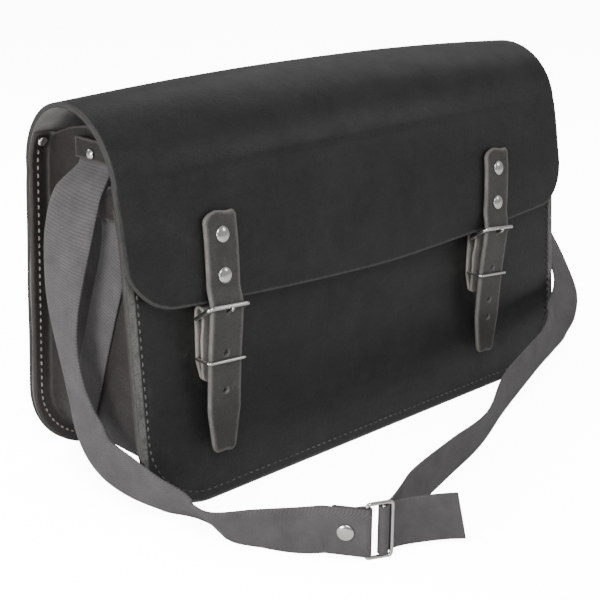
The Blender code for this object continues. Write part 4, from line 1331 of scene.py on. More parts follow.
@dataclass(frozen=True)
class Seams:
    """Rows of stitches round both panels, on the outside of the panels and on the gusset's flanges."""

    shape: BagShape
    front_inset: float = 0.0062
    back_inset: float = 0.0052
    foot_inset: float = 0.0075
    pitch: float = 0.0050
    length: float = 0.0031
    thread: float = 0.00060
    sink: float = 0.0003
    front_top: float = 0.184
    back_top: float = 0.2085

    def outline(self, top: float, side_inset: float) -> Array:
        """Line round the U of a panel at the insets: uprights, quarter ellipses and the foot.

        Args:
            top: height of its two ends.
            side_inset: distance of the uprights from the panel's sides.

        Returns:
            Rows of x and z, a pitch apart.
        """
        shape = self.shape
        angle = np.linspace(0.0, pi / 2, 40)
        wide, tall = shape.corner - side_inset, shape.corner - self.foot_inset
        x = shape.half - shape.corner + wide * np.sin(angle)
        z = shape.corner - tall * np.cos(angle)
        side = np.column_stack([np.append(x, shape.half - side_inset), np.append(z, top)])
        whole = np.concatenate([side[::-1] * np.array([-1.0, 1.0]), side])
        line = np.column_stack([whole[:, 0], np.zeros(len(whole)), whole[:, 1]])
        return resample(line, self.pitch)[:, [0, 2]]

    def row(self, name: str, facing: Facing, inset: float, front: bool, thread: Material) -> None:
        """Sew one row.

        Args:
            name: the piece's name.
            facing: which way the sewn face looks.
            inset: depth of that face behind the panel's outer face.
            front: whether the panel is the front one.
            thread: the thread's material.
        """
        shape = self.shape
        ends = (self.front_top, self.front_inset) if front else (self.back_top, self.back_inset)
        x, z = self.outline(*ends).T
        depth = shape.front if front else shape.back
        y = depth(z, inset)
        slope = (depth(z + 0.0005, inset) - depth(z - 0.0005, inset)) / 0.001
        normal = unit(np.column_stack([np.zeros(len(x)), np.ones(len(x)), -slope])) * facing.value
        shell = stitch_shell(np.column_stack([x, y, z]), normal, self.length, self.thread, self.sink)
        place(shell.piece(name, [thread]), "black_leather" if inset == 0.0 else "gusset_leather")

    def sew(self, wardrobe: Wardrobe) -> None:
        """Sew the four rows.

        Args:
            wardrobe: materials.
        """
        flange = self.shape.leather + self.shape.seam_gap + self.shape.gusset_leather
        self.row("seam_front_outside", Facing.FORWARD, 0.0, True, wardrobe.front_thread)
        self.row("seam_front_flange", Facing.BACKWARD, flange, True, wardrobe.front_thread)
        self.row("seam_back_flange", Facing.FORWARD, flange, False, wardrobe.back_thread)
        self.row("seam_back_outside", Facing.BACKWARD, 0.0, False, wardrobe.back_thread)


# ---- rivets


@dataclass(frozen=True)
class Rivet:
    """Domed rivet through a stack of leather."""

    head: float
    dome: float = 0.0018
    shank: float = 0.003
    clearance: float = 0.0003

    def shell(self, stack: float, point: Array, axis: Array) -> Shell:
        """Turn the rivet.

        The dome's height at a share s of its radius is its rise times (1 - s squared) to the power 0.62,
        over a thin upright brim.

        Args:
            stack: thickness that it holds.
            point: where its axis leaves the outer face.
            axis: direction out of that face.

        Returns:
            The closed shell.
        """
        share = np.sin(np.linspace(0.01, pi / 2, 14))
        brim = self.dome * 0.22
        dome = np.column_stack([share * self.head / 2, brim + (self.dome - brim) * (1 - share**2) ** 0.62])
        under = -stack - 2 * self.clearance
        cap = share[::-1] * self.head * 0.40
        foot = under - self.dome * 0.42 * (1 - share[::-1] ** 2) ** 0.6
        profile = np.concatenate([
            dome,
            [(self.head * 0.5, brim * 0.5), (self.head * 0.49, 0.0), (self.shank / 2, 0.0), (self.shank / 2, under)],
            np.column_stack([cap, foot]),
        ])
        return turned_shell(profile, point + self.clearance * unit(axis), axis)


# ---- closures


@dataclass(frozen=True)
class Closure:
    """One closure: a strap riveted to the flap, its buckle, tongue and keeper, and the chape behind it."""

    shape: BagShape
    side: Side
    centre_share: float
    drift: float
    tilt: float
    extra_holes: tuple[float, ...] = ()
    width: float = 0.025
    leather: float = 0.003
    hole: float = 0.0038
    used_hole: float = 0.0032
    pitch: float = 0.024
    hole_start: float = 0.998
    wire: float = 0.0028
    play: float = 0.0013
    buckle_corner: float = 0.0028
    tongue_wire: float = 0.0020
    keeper_wire: float = 0.0020
    keeper_play: float = 0.0007
    chape_leather: float = 0.002
    slot_width: float = 0.0052
    slot_length: float = 0.020
    slot_rise: float = 0.030
    loop_rise: float = 0.030
    loop_play: float = 0.0007
    head: float = 0.010
    rivet_bore: float = 0.0039
    heel_height: float = 0.962
    far_height: float = 1.043
    far_stand: float = 0.800
    frame_drift: float = 1.010
    keeper_height: float = 0.765
    chape_end: float = 0.640
    rivet_heights: tuple[tuple[str, float], ...] = (("upper", 1.375), ("lower", 1.180))
    run: Rows = (
        # height, stand, drift
        (1.040, 0.665, 0.58),
        (0.990, 0.660, 0.66),
        (0.900, 0.624, 0.78),
        (0.760, 0.560, 0.93),
        (0.570, 0.472, 1.02),
        (0.410, 0.384, 1.00),
        (0.275, 0.320, 0.97),
    )
    on_flap: Rows = ((1.485, -0.08), (1.375, 0.02), (1.270, 0.17), (1.180, 0.31), (1.130, 0.40))
    top_left: Rows = ((0.00, 0.12), (0.03, 0.24), (0.08, 0.36), (0.15, 0.45), (0.24, 0.50))
    top_right: Rows = ((0.00, 0.40), (0.03, 0.46), (0.10, 0.50))
    tip: Rows = ((0.00, 0.22), (0.03, 0.29), (0.08, 0.335), (0.20, 0.37), (1.10, 0.50))
    chape_tip: Rows = ((0.00, 0.28), (0.04, 0.35), (0.10, 0.39), (0.50, 0.485))

    @property
    def centre(self) -> float:
        """Sideways place of the closure at the flap's rivets."""
        return self.centre_share * self.shape.half

    @property
    def cross(self) -> Array:
        """Direction along the buckle's bars."""
        return np.array([cos(radians(self.tilt)), 0.0, -sin(radians(self.tilt))])

    @property
    def chape_rest(self) -> float:
        """Stand of the chape's back layer in mid-thickness."""
        return 1.5 * self.shape.clearance + self.chape_leather / 2

    @property
    def chape_bend(self) -> float:
        """Radius of the chape's fold in mid-thickness."""
        return self.wire / 2 + self.shape.clearance + self.chape_leather / 2 + self.loop_play

    @property
    def heel(self) -> Array:
        """Middle of the heel bar."""
        return self.at(self.heel_height, self.chape_rest + self.chape_bend, self.frame_drift)

    @property
    def far(self) -> Array:
        """Middle of the far bar."""
        return self.at(self.far_height, self.far_stand * self.width, self.frame_drift)

    @property
    def out(self) -> Array:
        """Direction from the heel bar to the far bar."""
        return unit(self.far - self.heel)

    @property
    def face(self) -> Array:
        """Direction out of the buckle's plane, forward."""
        return np.cross(self.cross, self.out)

    @property
    def tongue_gap(self) -> float:
        """Distance from a bar's middle to the tongue's."""
        return (self.wire + self.tongue_wire) / 2 + 1.3 * self.shape.clearance

    def x_at(self, height: float) -> float:
        """Sideways place of the centre at a height, a share of the flap edge's height."""
        rows = [*self.on_flap] + [(share, drift) for share, _, drift in self.run]
        return self.centre - self.drift * float(lookup(tuple(sorted(rows)), height))

    def at(self, height: float, stand: float, x_height: float | None = None) -> Array:
        """Point at a share of the flap edge's height and a distance forward, at the x of x_height if given."""
        z = self.shape.flap_edge * height
        return np.array([self.x_at(x_height or height), self.shape.front_line(z) - stand, z])

    def strap_rows(self) -> Array:
        """Bends of the strap in mid-thickness, from its top end on the flap down to its tip."""
        rows = []
        for height, _ in self.on_flap:
            x, z = self.x_at(height), self.shape.flap_edge * height
            lift = (self.leather / 2 + 3.5 * self.shape.clearance) / cos(self.shape.flap_angle)
            rows.append((x, float(self.shape.flap(x, z)) - lift, z))
        rows += [tuple(self.at(height, stand * self.width)) for height, stand, _ in self.run]
        return np.array(rows)

    def on_strap(self, path: Array, z: float) -> tuple[Array, Array]:
        """Centre of the strap at a height and the direction out of its face.

        Args:
            path: the strap's centre line.
            z: height.

        Returns:
            Point and direction.
        """
        upward = path[::-1]
        point, above = (
            np.array([np.interp(height, upward[:, 2], upward[:, k]) for k in range(3)]) for height in (z, z + 0.003)
        )
        return point, unit(np.cross(self.cross, above - point))

    def band(self, path: Array, left: Array, right: Array, columns: int = 27) -> Array:
        """Grid across a path: from its left to its right half width in even steps along the bars' direction.

        Args:
            path: centre line.
            left: half width on the left of each point.
            right: half width on its right.
            columns: number of columns.

        Returns:
            Rows by columns of points.
        """
        share = np.linspace(0.0, 1.0, columns)[None, :, None]
        offset = -left[:, None, None] * (1 - share) + right[:, None, None] * share
        return path[:, None, :] + offset * self.cross

    def strap(self, wardrobe: Wardrobe) -> None:
        """Strap with a slanted top end, a tapering rounded tip and punched holes, and its two rivets.

        Args:
            wardrobe: materials.
        """
        path = smooth_rows(self.strap_rows(), 0.001, 0.003)
        run = path_run(path)
        tip = lookup(self.tip, (run[-1] - run) / self.width)
        left = np.minimum(lookup(self.top_left, run / self.width), tip) * self.width
        right = np.minimum(lookup(self.top_right, run / self.width), tip) * self.width
        grid = self.band(path, left, right)
        used = self.far + self.face * self.tongue_gap - self.out * 0.0012
        near = np.argmin(np.linalg.norm(path - used, axis=1))
        punches = [Punch(path[near], self.used_hole * 0.75, self.used_hole / 2)]
        for step in (1, 2, *self.extra_holes):
            point, _ = self.on_strap(path, self.hole_start * self.shape.flap_edge - self.pitch * step)
            punches.append(Punch(point, self.hole / 2, self.hole / 2))
        stack = self.leather + 5 * self.shape.clearance + self.shape.leather
        for level, height in self.rivet_heights:
            point, axis = self.on_strap(path, self.shape.flap_edge * height)
            punches.append(Punch(point, self.rivet_bore / 2, self.rivet_bore / 2))
            shell = Rivet(self.head).shell(stack, point + axis * self.leather / 2, axis)
            name = f"{level}_{self.side.label}"
            place(shell.piece("cap_rivet_" + name, [wardrobe.metal]), "nickel", "closure_rivet_" + name)
        shell = sheet_shell(grid, self.leather, 0.0009, centred=True, punches=tuple(punches))
        name = self.side.label
        place(shell.piece("strap_closure_" + name, wardrobe.strap), "strap_leather", "closure_strap_" + name)

    def buckle(self, wardrobe: Wardrobe) -> None:
        """Wire frame from the heel bar to the far bar, and the tongue curled round the heel bar.

        Args:
            wardrobe: materials.
        """
        name = self.side.label
        length = float(np.linalg.norm(self.far - self.heel))
        loop = rounded_loop(self.width + 2 * self.play + self.wire, length, self.buckle_corner)
        middle = (self.heel + self.far) / 2
        path = middle + loop[:, :1] * self.cross + loop[:, 1:] * self.out
        shell = tube_shell(path, self.face, self.wire / 2, True, 20)
        place(shell.piece("frame_buckle_" + name, [wardrobe.metal]), "nickel", "buckle_frame_" + name)
        curl = np.radians(np.linspace(-20.0, 180.0, 25))[:, None]
        tip = np.radians(np.linspace(0.0, 50.0, 9))[:, None]
        gap = self.tongue_gap
        path = np.concatenate([
            self.heel - gap * (np.cos(curl) * self.face + np.sin(curl) * self.out),
            (self.heel + self.out * length * 0.5 + self.face * gap)[None],
            self.far + gap * (np.cos(tip) * self.face + np.sin(tip) * self.out),
        ])
        shell = tube_shell(path, self.cross, self.tongue_wire / 2, False)
        place(shell.piece("tongue_buckle_" + name, [wardrobe.metal]), "nickel", "buckle_tongue_" + name)

    def keeper(self, wardrobe: Wardrobe) -> float:
        """Wire loop between the chape's layers and round the strap.

        Args:
            wardrobe: materials.

        Returns:
            Stand of the chape's front layer where it lies over the keeper.
        """
        gap = self.keeper_wire / 2 + 1.5 * self.shape.clearance
        back = self.chape_rest + self.chape_leather / 2 + gap
        path = smooth_rows(self.strap_rows(), 0.001)
        point, _ = self.on_strap(path, self.keeper_height * self.shape.flap_edge)
        stand = float(self.shape.front_line(point[2])) - point[1] + self.leather / 2 + gap
        middle = self.at(self.keeper_height, (back + stand) / 2)
        loop = rounded_loop(self.width + 2 * self.keeper_play + self.keeper_wire, stand - back, self.keeper_wire)
        path = middle + loop[:, :1] * self.cross - loop[:, 1:] * np.array([0.0, 1.0, 0.0])
        shell = tube_shell(path, np.cross(self.cross, (0.0, -1.0, 0.0)), self.keeper_wire / 2, True, 20)
        name = self.side.label
        place(shell.piece("keeper_" + name, [wardrobe.metal]), "nickel", "strap_keeper_" + name)
        return back + gap + self.chape_leather / 2

    def chape(self, keeper_layer: float, wardrobe: Wardrobe) -> None:
        """Leather folded round the heel bar and the keeper, slotted for the tongue, both ends down.

        Args:
            keeper_layer: stand of its front layer over the keeper.
            wardrobe: materials.
        """
        rest, bend = self.chape_rest, self.chape_bend
        small = self.shape.clearance
        close = rest + self.chape_leather + small
        rows = [(self.chape_end, rest), (self.keeper_height, rest), (self.heel_height - 0.06, rest)]
        for angle in np.linspace(0.0, pi, 9):
            height = self.heel_height + self.loop_rise + bend * sin(angle) / self.shape.flap_edge
            rows.append((height, rest + bend - bend * cos(angle)))
        rows += [
            (self.heel_height - 0.03, rest + 2 * bend - small),
            (self.heel_height - 0.10, (keeper_layer + rest + 2 * bend) / 2 - 2 * small),
            (self.keeper_height + 0.01, keeper_layer + small),
            (self.keeper_height - 0.045, (keeper_layer + close) / 2 + 2 * small),
            (self.chape_end + 0.035, close + small),
            (self.chape_end, close),
        ]
        path = smooth_rows(np.array([self.at(height, stand) for height, stand in rows]), 0.0008, 0.002)
        run = path_run(path)
        half = lookup(self.chape_tip, np.minimum(run, run[-1] - run) / self.width) * self.width
        grid = self.band(path, half, half)[:, ::-1]
        bottom = (self.heel_height + self.slot_rise) * self.shape.flap_edge - self.slot_length / 2
        open_rows = np.flatnonzero(path[:, 2] > bottom)
        middle = path[(open_rows[0] + open_rows[-1]) // 2]
        reach = (run[open_rows[-1]] - run[open_rows[0]]) / 2
        slot = Punch(middle, reach, self.slot_width / 2, 7.0)
        shell = sheet_shell(grid, self.chape_leather, 0.0006, centred=True, punches=(slot,))
        name = self.side.label
        place(shell.piece("folded_chape_" + name, wardrobe.chape), "chape_leather", "chape_" + name)

    def build(self, wardrobe: Wardrobe) -> None:
        """Build the whole closure.

        Args:
            wardrobe: materials.
        """
        self.strap(wardrobe)
        self.buckle(wardrobe)
        self.chape(self.keeper(wardrobe), wardrobe)


# ---- shoulder strap


@dataclass(frozen=True)
class Webbing:
    """A woven band: sizes of its weave and the way it is laid along a path."""

    width: float = 0.030
    thickness: float = 0.0017
    rib_pitch: float = 0.0022
    rib_height: float = 0.00007
    step: float = 0.00055
    bulge: float = 0.0005
    selvedge: float = 0.12
    selvedge_ribs: float = 0.25
    slant_run: float = 0.015

    def relief(self, run: Array, columns: int) -> Array:
        """Height of the cross ribs: a cosine of the running length, fading at the two selvedges."""
        share = np.linspace(-1.0, 1.0, columns)
        fade = np.clip((1 - np.abs(share)) / self.selvedge, self.selvedge_ribs, 1.0)
        return self.rib_height / 2 * (np.cos(2 * pi * run / self.rib_pitch) - 1)[:, None] * fade

    def shell(self, path: Array, slant: float = 0.0, columns: int = 11) -> Shell:
        """Band along a path: the width laid across it along the given directions, made square to the path.

        Args:
            path: points in mid-thickness and directions across.
            slant: how far its last end is cut back at its last column.
            columns: points across.

        Returns:
            The closed shell.
        """
        path = resample(path, self.step)
        soft = path.copy()
        soft[1:-1] = (path[:-2] + 2 * path[1:-1] + path[2:]) / 4
        centre = soft[:, :3]
        run = path_run(centre)
        tangent = unit(np.gradient(centre, run, axis=0))
        across = unit(soft[:, 3:] - tangent * np.sum(soft[:, 3:] * tangent, axis=1)[:, None])
        offset = np.linspace(-0.5, 0.5, columns)[None, :, None] * self.width
        grid = centre[:, None, :] + offset * across[:, None, :]
        pull = slant * np.clip((run - run[-1]) / self.slant_run + 1, 0.0, 1.0) ** 2
        grid = grid - (pull[:, None] * np.linspace(0.0, 1.0, columns))[..., None] * tangent[:, None, :]
        relief = self.relief(run, columns)
        return sheet_shell(grid, self.thickness, self.bulge, centred=True, relief=relief, rim_steps=2).one_slot()


@dataclass(frozen=True)
class Slider:
    """Slider frame standing on edge on the floor, with its loose bar and the webbing drawn through it."""

    shape: BagShape
    webbing: Webbing
    turn: float = -25.0
    centre_along: float = -0.635
    centre_back: float = -0.962
    wire: float = 0.0024
    length: float = 0.0178
    corner: float = 0.0020
    bar: float = 0.0026
    bar_place: float = 0.0024
    play: float = 0.0008
    fold_back: float = 0.020
    fold_rivet: float = 0.0115
    fold_turn: float = 31.0
    fold_lead: tuple[float, ...] = (1.2, 0.6, 0.2)
    fold_close: Rows = ((0.14, 0.78), (0.26, 0.26), (0.36, 0.0), (1.0, 0.0))
    lead: Rows = ((0.740, -0.703), (0.500, -0.423), (0.350, -0.262), (0.240, -0.185))
    tail: Rows = (
        (0.333, -0.115),
        (0.500, -0.150),
        (0.733, -0.160),
        (1.200, -0.135),
        (1.530, -0.090),
        (1.830, -0.010),
    )

    @property
    def inside(self) -> float:
        """Clear height between the frame's rails."""
        return self.webbing.width + 2 * self.play

    @property
    def height(self) -> float:
        """Height of the frame's middle."""
        return self.shape.clearance + self.wire + self.inside / 2

    @property
    def end(self) -> float:
        """Distance from the middle to the frame's end bars."""
        return (self.length - self.wire) / 2

    @property
    def fold_radius(self) -> float:
        """Radius of the folded webbing round an end bar, in mid-thickness."""
        return (self.wire + self.webbing.thickness) / 2 + self.shape.clearance

    @property
    def wrap_radius(self) -> float:
        """Radius of the webbing round the loose bar, in mid-thickness."""
        return (self.bar + self.webbing.thickness) / 2 + self.shape.clearance

    def ways(self) -> tuple[Array, Array]:
        """Directions along the frame and forward of it."""
        turn = radians(self.turn)
        return np.array([cos(turn), sin(turn), 0.0]), np.array([sin(turn), -cos(turn), 0.0])

    def world(self, places: Array) -> Array:
        """Points from distances along the frame and forward of it, at the frame's middle height.

        Args:
            places: rows of distance along and forward.

        Returns:
            The points.
        """
        along, forward = self.ways()
        x, y = self.centre_along * self.shape.half, self.centre_back * self.shape.depth
        places = np.atleast_2d(places)
        return np.array([x, y, self.height]) + places[:, :1] * along + places[:, 1:2] * forward

    @staticmethod
    def arc(centre: float, radius: float, start: float, stop: float, steps: int) -> Array:
        """Points round a bar, with angles in degrees from the frame's own direction."""
        angles = np.radians(np.linspace(start, stop, steps))
        return np.column_stack([centre + radius * np.cos(angles), radius * np.sin(angles)])

    def fittings(self, wardrobe: Wardrobe) -> None:
        """Wire frame and the bar between its rails.

        Args:
            wardrobe: materials.
        """
        along, _ = self.ways()
        upward = np.array([0.0, 0.0, 1.0])
        loop = rounded_loop(2 * self.end, self.inside + self.wire, self.corner)
        path = self.world(np.zeros((1, 2))) + loop[:, :1] * along + loop[:, 1:] * upward
        shell = tube_shell(path, np.cross(along, upward), self.wire / 2, True, 20)
        place(shell.piece("frame_slider", [wardrobe.metal]), "nickel", "slider_frame")
        half = self.inside / 2 - self.shape.clearance - self.bar * 0.3
        path = self.world(np.array([[self.bar_place, 0.0]])) + np.linspace(-half, half, 9)[:, None] * upward
        shell = tube_shell(path, along, self.bar / 2, False, 20)
        place(shell.piece("bar_slider", [wardrobe.metal]), "nickel", "slider_bar")

    def fold(self) -> tuple[Array, Array, Array]:
        """Folded end of the left strap.

        Returns:
            Points along the frame and forward of it, the rivet's place, and the way out of the fold's front.
        """
        turn = radians(self.fold_turn)
        ahead = np.array([cos(turn), sin(turn)])
        out = np.array([-sin(turn), cos(turn)])
        bar = np.array([-self.end, 0.0])
        apart = self.webbing.thickness + self.shape.clearance
        front = np.array([bar + out * self.fold_radius - ahead * self.fold_back * share for share in self.fold_lead])
        arc = self.arc(-self.end, self.fold_radius, 90 + self.fold_turn, self.fold_turn - 90, 33)
        share, spread = np.array(self.fold_close).T
        fine = np.linspace(share[0], share[-1], 40)
        gap = apart + (2 * self.fold_radius - apart) * np.interp(fine, share, spread)
        closing = bar + out * (self.fold_radius - gap)[:, None] - ahead * (self.fold_back * fine)[:, None]
        points = np.concatenate([front, arc, closing])
        return points, bar + out * self.fold_radius - ahead * self.fold_rivet, out

    def lead_and_tail(self) -> Array:
        """Right strap round the loose bar and out behind the frame's end, along and forward."""
        width = self.webbing.width
        tail = np.array(self.tail) * width
        flat = np.column_stack([tail, np.zeros(len(tail))])
        return np.concatenate([
            np.array(self.lead) * width,
            self.arc(self.bar_place, self.wrap_radius, -80.0, -335.0, 49),
            self.arc(self.end, self.fold_radius, 205.0, 248.0, 9),
            smooth_rows(flat, 0.002)[:, :2],
        ])


@dataclass(frozen=True)
class ShoulderStrap:
    """Both straps of webbing from the gussets to the slider, and the rivet of the folded end."""

    shape: BagShape
    webbing: Webbing
    slider: Slider
    rivet_head: float = 0.010
    tail_slant: float = 0.006
    # A row for each bend. along: share of the panels' half width at the height of the webbing's upper edge;
    # off: distance beyond it in webbing widths; back: share of the bag's depth behind the front panel; low:
    # height of the lowest edge as a share of the bag's height; then the direction across the webbing
    left_rows: Rows = (
        # along, off, back, low, across x, y, z
        (-1.00, 0.377, 0.413, 0.908, 0.00, 1.00, 0.00),
        (-1.00, 0.377, 0.413, 0.862, 0.00, 1.00, 0.00),
        (-1.00, 0.350, 0.412, 0.848, -0.05, 1.00, 0.00),
        (-1.00, -0.100, 0.405, 0.786, -0.50, 0.90, 0.05),
        (-1.00, -0.293, 0.417, 0.696, -0.50, 0.85, 0.20),
        (-1.00, -0.300, 0.472, 0.594, -0.30, 0.93, 0.25),
        (-1.00, -0.233, 0.528, 0.508, -0.10, 1.00, 0.18),
        (-1.00, -0.183, 0.542, 0.427, 0.10, 1.00, 0.00),
        (-1.00, -0.133, 0.520, 0.323, 0.20, 0.97, -0.20),
        (-1.00, -0.100, 0.464, 0.226, 0.12, 0.93, -0.32),
        (-1.00, -0.070, 0.400, 0.142, -0.05, 0.80, -0.60),
        (-1.00, -0.110, 0.290, 0.085, 0.00, 0.55, -0.83),
        (-1.00, -0.075, 0.120, 0.055, 0.06, 0.20, -0.98),
        (-1.00, 0.105, -0.075, 0.030, 0.36, 0.13, -0.92),
        (-1.00, 0.335, -0.218, 0.0055, 0.66, 0.12, -0.74),
        (-0.925, 0.00, -0.393, 0.0055, 0.56, 0.10, -0.82),
        (-0.860, 0.00, -0.560, 0.0055, 0.30, 0.05, -0.95),
        (-0.790, 0.00, -0.700, 0.006, 0.05, 0.00, -1.00),
    )
    right_rows: Rows = (
        # along, off, back, low, across x, y, z
        (1.00, -0.377, 0.448, 0.908, 0.00, -1.00, 0.00),
        (1.00, -0.377, 0.448, 0.862, 0.00, -1.00, 0.00),
        (1.00, -0.345, 0.447, 0.848, 0.00, -1.00, 0.00),
        (1.00, 0.180, 0.430, 0.765, -0.10, -1.00, 0.10),
        (1.00, 0.500, 0.398, 0.668, -0.25, -0.97, 0.10),
        (1.00, 0.680, 0.355, 0.570, -0.42, -0.90, 0.12),
        (1.00, 0.810, 0.300, 0.474, -0.62, -0.76, 0.20),
        (1.00, 0.825, 0.222, 0.378, -0.82, -0.48, 0.27),
        (1.00, 0.700, 0.122, 0.290, -0.88, -0.08, 0.41),
        (1.00, 0.390, -0.012, 0.207, -0.80, 0.18, 0.55),
        (1.00, -0.060, -0.080, 0.162, -0.77, 0.24, 0.59),
        (0.912, 0.000, -0.130, 0.135, -0.72, 0.14, 0.66),
        (0.852, 0.000, -0.178, 0.117, -0.60, 0.02, 0.78),
        (0.784, 0.000, -0.222, 0.098, -0.40, -0.08, 0.90),
        (0.700, 0.000, -0.268, 0.083, -0.18, -0.12, 0.98),
        (0.580, 0.000, -0.330, 0.073, -0.08, -0.08, 0.99),
        (0.345, 0.000, -0.440, 0.045, -0.12, -0.06, 0.99),
        (0.115, 0.000, -0.590, 0.016, -0.08, -0.26, 0.96),
        (-0.130, 0.000, -0.680, 0.006, 0.00, -0.12, 0.99),
        (-0.375, 0.000, -0.790, 0.006, 0.00, -0.02, 1.00),
    )

    def stations(self, table: Rows) -> Array:
        """Rows of a table as centre points and directions across the webbing.

        Args:
            table: the table.

        Returns:
            One row of six for each bend.
        """
        table = np.array(table)
        along, off, back, low = table[:, :4].T
        across = unit(table[:, 4:])
        rise = self.webbing.width * np.abs(across[:, 2])
        bottom = low * self.shape.height
        edge = self.shape.half - self.shape.panel_edge(bottom + rise)
        x = along * self.shape.half + off * self.webbing.width
        x = x - np.where(np.abs(along) == 1.0, along * edge, 0.0)
        return np.column_stack([x, back * self.shape.depth, bottom + rise / 2, across])

    def band(self, table: Rows, drawn: Array, upward: float, slant: float = 0.0) -> Shell:
        """Band: straight from its first row to the next, a smooth free run, then the points drawn tight.

        Args:
            table: rows of the free run.
            drawn: places along and forward of the slider.
            upward: sign of z in the direction across, at the slider.
            slant: how far its end is cut back at the last column.

        Returns:
            The closed shell.
        """
        free = self.stations(table)
        tight = self.slider.world(drawn)
        tight = np.column_stack([tight, np.zeros((len(tight), 2)), np.full(len(tight), upward)])
        run = smooth_rows(np.concatenate([free[1:], tight[:1]]), 0.001)
        return self.webbing.shell(np.concatenate([free[:1], run, tight[1:]]), slant)

    def build(self, wardrobe: Wardrobe) -> None:
        """Build both straps, the slider and the fold's rivet.

        Args:
            wardrobe: materials.
        """
        self.slider.fittings(wardrobe)
        points, rivet_place, out = self.slider.fold()
        shell = self.band(self.left_rows, points, -1.0)
        place(shell.piece("webbing_left", [wardrobe.webbing]), "webbing", "shoulder_strap_left")
        shell = self.band(self.right_rows, self.slider.lead_and_tail(), 1.0, self.tail_slant)
        place(shell.piece("webbing_right", [wardrobe.webbing]), "webbing", "shoulder_strap_right")
        along, forward = self.slider.ways()
        axis = out[0] * along + out[1] * forward
        face = self.slider.world(rivet_place)[0] + axis * self.webbing.thickness / 2
        stack = 2 * self.webbing.thickness + 1.5 * self.shape.clearance
        shell = Rivet(self.rivet_head).shell(stack, face, axis)
        place(shell.piece("cap_rivet_slider", [wardrobe.metal]), "nickel", "slider_rivet")


# ---- side fittings


@dataclass(frozen=True)
class SideFittings:
    """Patch over the strap's end, tab, strip and rivets on the outside of one gusset."""

    shape: BagShape
    webbing: Webbing
    side: Side
    strap_depth: float
    leather: float = 0.002
    strip_width: float = 0.025
    small_head: float = 0.0065
    small_lift: float = 0.0006
    patch_heights: tuple[float, float] = (0.863, 0.916)
    patch_margin: float = 0.03
    bulge: float = 0.0006
    anchor_height: float = 0.880
    seam_rivet_height: float = 0.882
    # Tab: height, depth of its front edge and of its back edge
    tab: Rows = ((0.728, 0.192, 0.378), (0.770, 0.192, 0.378), (0.815, 0.192, 0.283))
    # Strip: depth and height of its middle
    strip_run: Rows = ((0.286, 0.745), (0.286, 0.675), (0.321, 0.605), (0.425, 0.462), (0.615, 0.188))

    def wall_grid(self, layer: float, front: Array, back: Array, columns: int) -> Array:
        """Grid on a gusset wall between a front and a back edge, each given upwards.

        Args:
            layer: distance of its outer face from the wall.
            front: rows of depth and height.
            back: rows of depth and height.
            columns: points across.

        Returns:
            Rows by columns of points, from back to front on the right and from front to back on the left.
        """
        share = np.linspace(0.0, 1.0, columns)[None, :, None]
        flat = back[:, None] * (1 - share) + front[:, None] * share
        x = np.full(flat.shape[:2], self.side.value * (self.shape.wall_x + layer))
        grid = np.concatenate([x[..., None], flat], axis=-1)
        return grid if self.side is Side.RIGHT else grid[:, ::-1]

    def build(self, wardrobe: Wardrobe) -> None:
        """Build the fittings.

        Args:
            wardrobe: materials.
        """
        shape, name, side = self.shape, self.side.label, self.side.value
        layer = 2 * shape.clearance + self.webbing.thickness
        centre = self.strap_depth * shape.depth
        reach = self.webbing.width * (0.5 + self.patch_margin)
        z = np.linspace(*self.patch_heights, 14) * shape.height
        front = np.column_stack([np.full(14, centre - reach), z])
        back = np.column_stack([np.full(14, centre + reach), z])
        shell = sheet_shell(self.wall_grid(layer + self.leather, front, back, 30), self.leather, self.bulge)
        place(shell.piece("patch_" + name, wardrobe.gusset), "gusset_leather", "anchor_patch_" + name)

        z, front_y, back_y = np.array(self.tab).T
        heights = np.linspace(z[0], z[-1], 24)
        front = np.column_stack([np.interp(heights, z, front_y) * shape.depth, heights * shape.height])
        back = np.column_stack([np.interp(heights, z, back_y) * shape.depth, heights * shape.height])
        shell = sheet_shell(self.wall_grid(layer + self.leather, front, back, 26), self.leather, self.bulge)
        place(shell.piece("tab_" + name, wardrobe.gusset), "gusset_leather", "gusset_tab_" + name)

        rows = np.array(self.strip_run)[::-1] * np.array([shape.depth, shape.height])
        path = smooth_rows(np.column_stack([rows, np.zeros(len(rows))]), 0.00055)
        slope = unit(np.gradient(path[:, :2], axis=0)) * self.strip_width / 2
        normal = np.column_stack([slope[:, 1], -slope[:, 0]])
        layers = shape.clearance + self.webbing.thickness
        grid = self.wall_grid(layers, path[:, :2] - normal, path[:, :2] + normal, 11)
        relief = self.webbing.relief(path_run(path), 11)
        shell = sheet_shell(grid, self.webbing.thickness, self.webbing.bulge, relief=relief, rim_steps=2).one_slot()
        place(shell.piece("strip_" + name, [wardrobe.webbing]), "webbing", "side_strip_" + name)

        axis = np.array([side, 0.0, 0.0])
        outer = np.array([side * (shape.wall_x + layer + self.leather), centre, self.anchor_height * shape.height])
        shell = Rivet(self.small_head).shell(self.leather + layer + shape.gusset_leather, outer, axis)
        place(shell.piece("cap_rivet_anchor_" + name, [wardrobe.metal]), "nickel", "anchor_rivet_" + name)
        z = self.seam_rivet_height * shape.height
        inset = shape.leather + shape.seam_gap + shape.gusset_leather + self.small_lift
        y = float(shape.back(z, inset))
        axis = unit(np.array([0.0, shape.arch_y - y, shape.arch_z - z]))
        point = np.array([side * (shape.half - shape.seam_width / 2), y, z])
        shell = Rivet(self.small_head).shell(inset + self.small_lift, point, axis)
        place(shell.piece("cap_rivet_seam_" + name, [wardrobe.metal]), "nickel", "seam_rivet_" + name)


# ---- studio


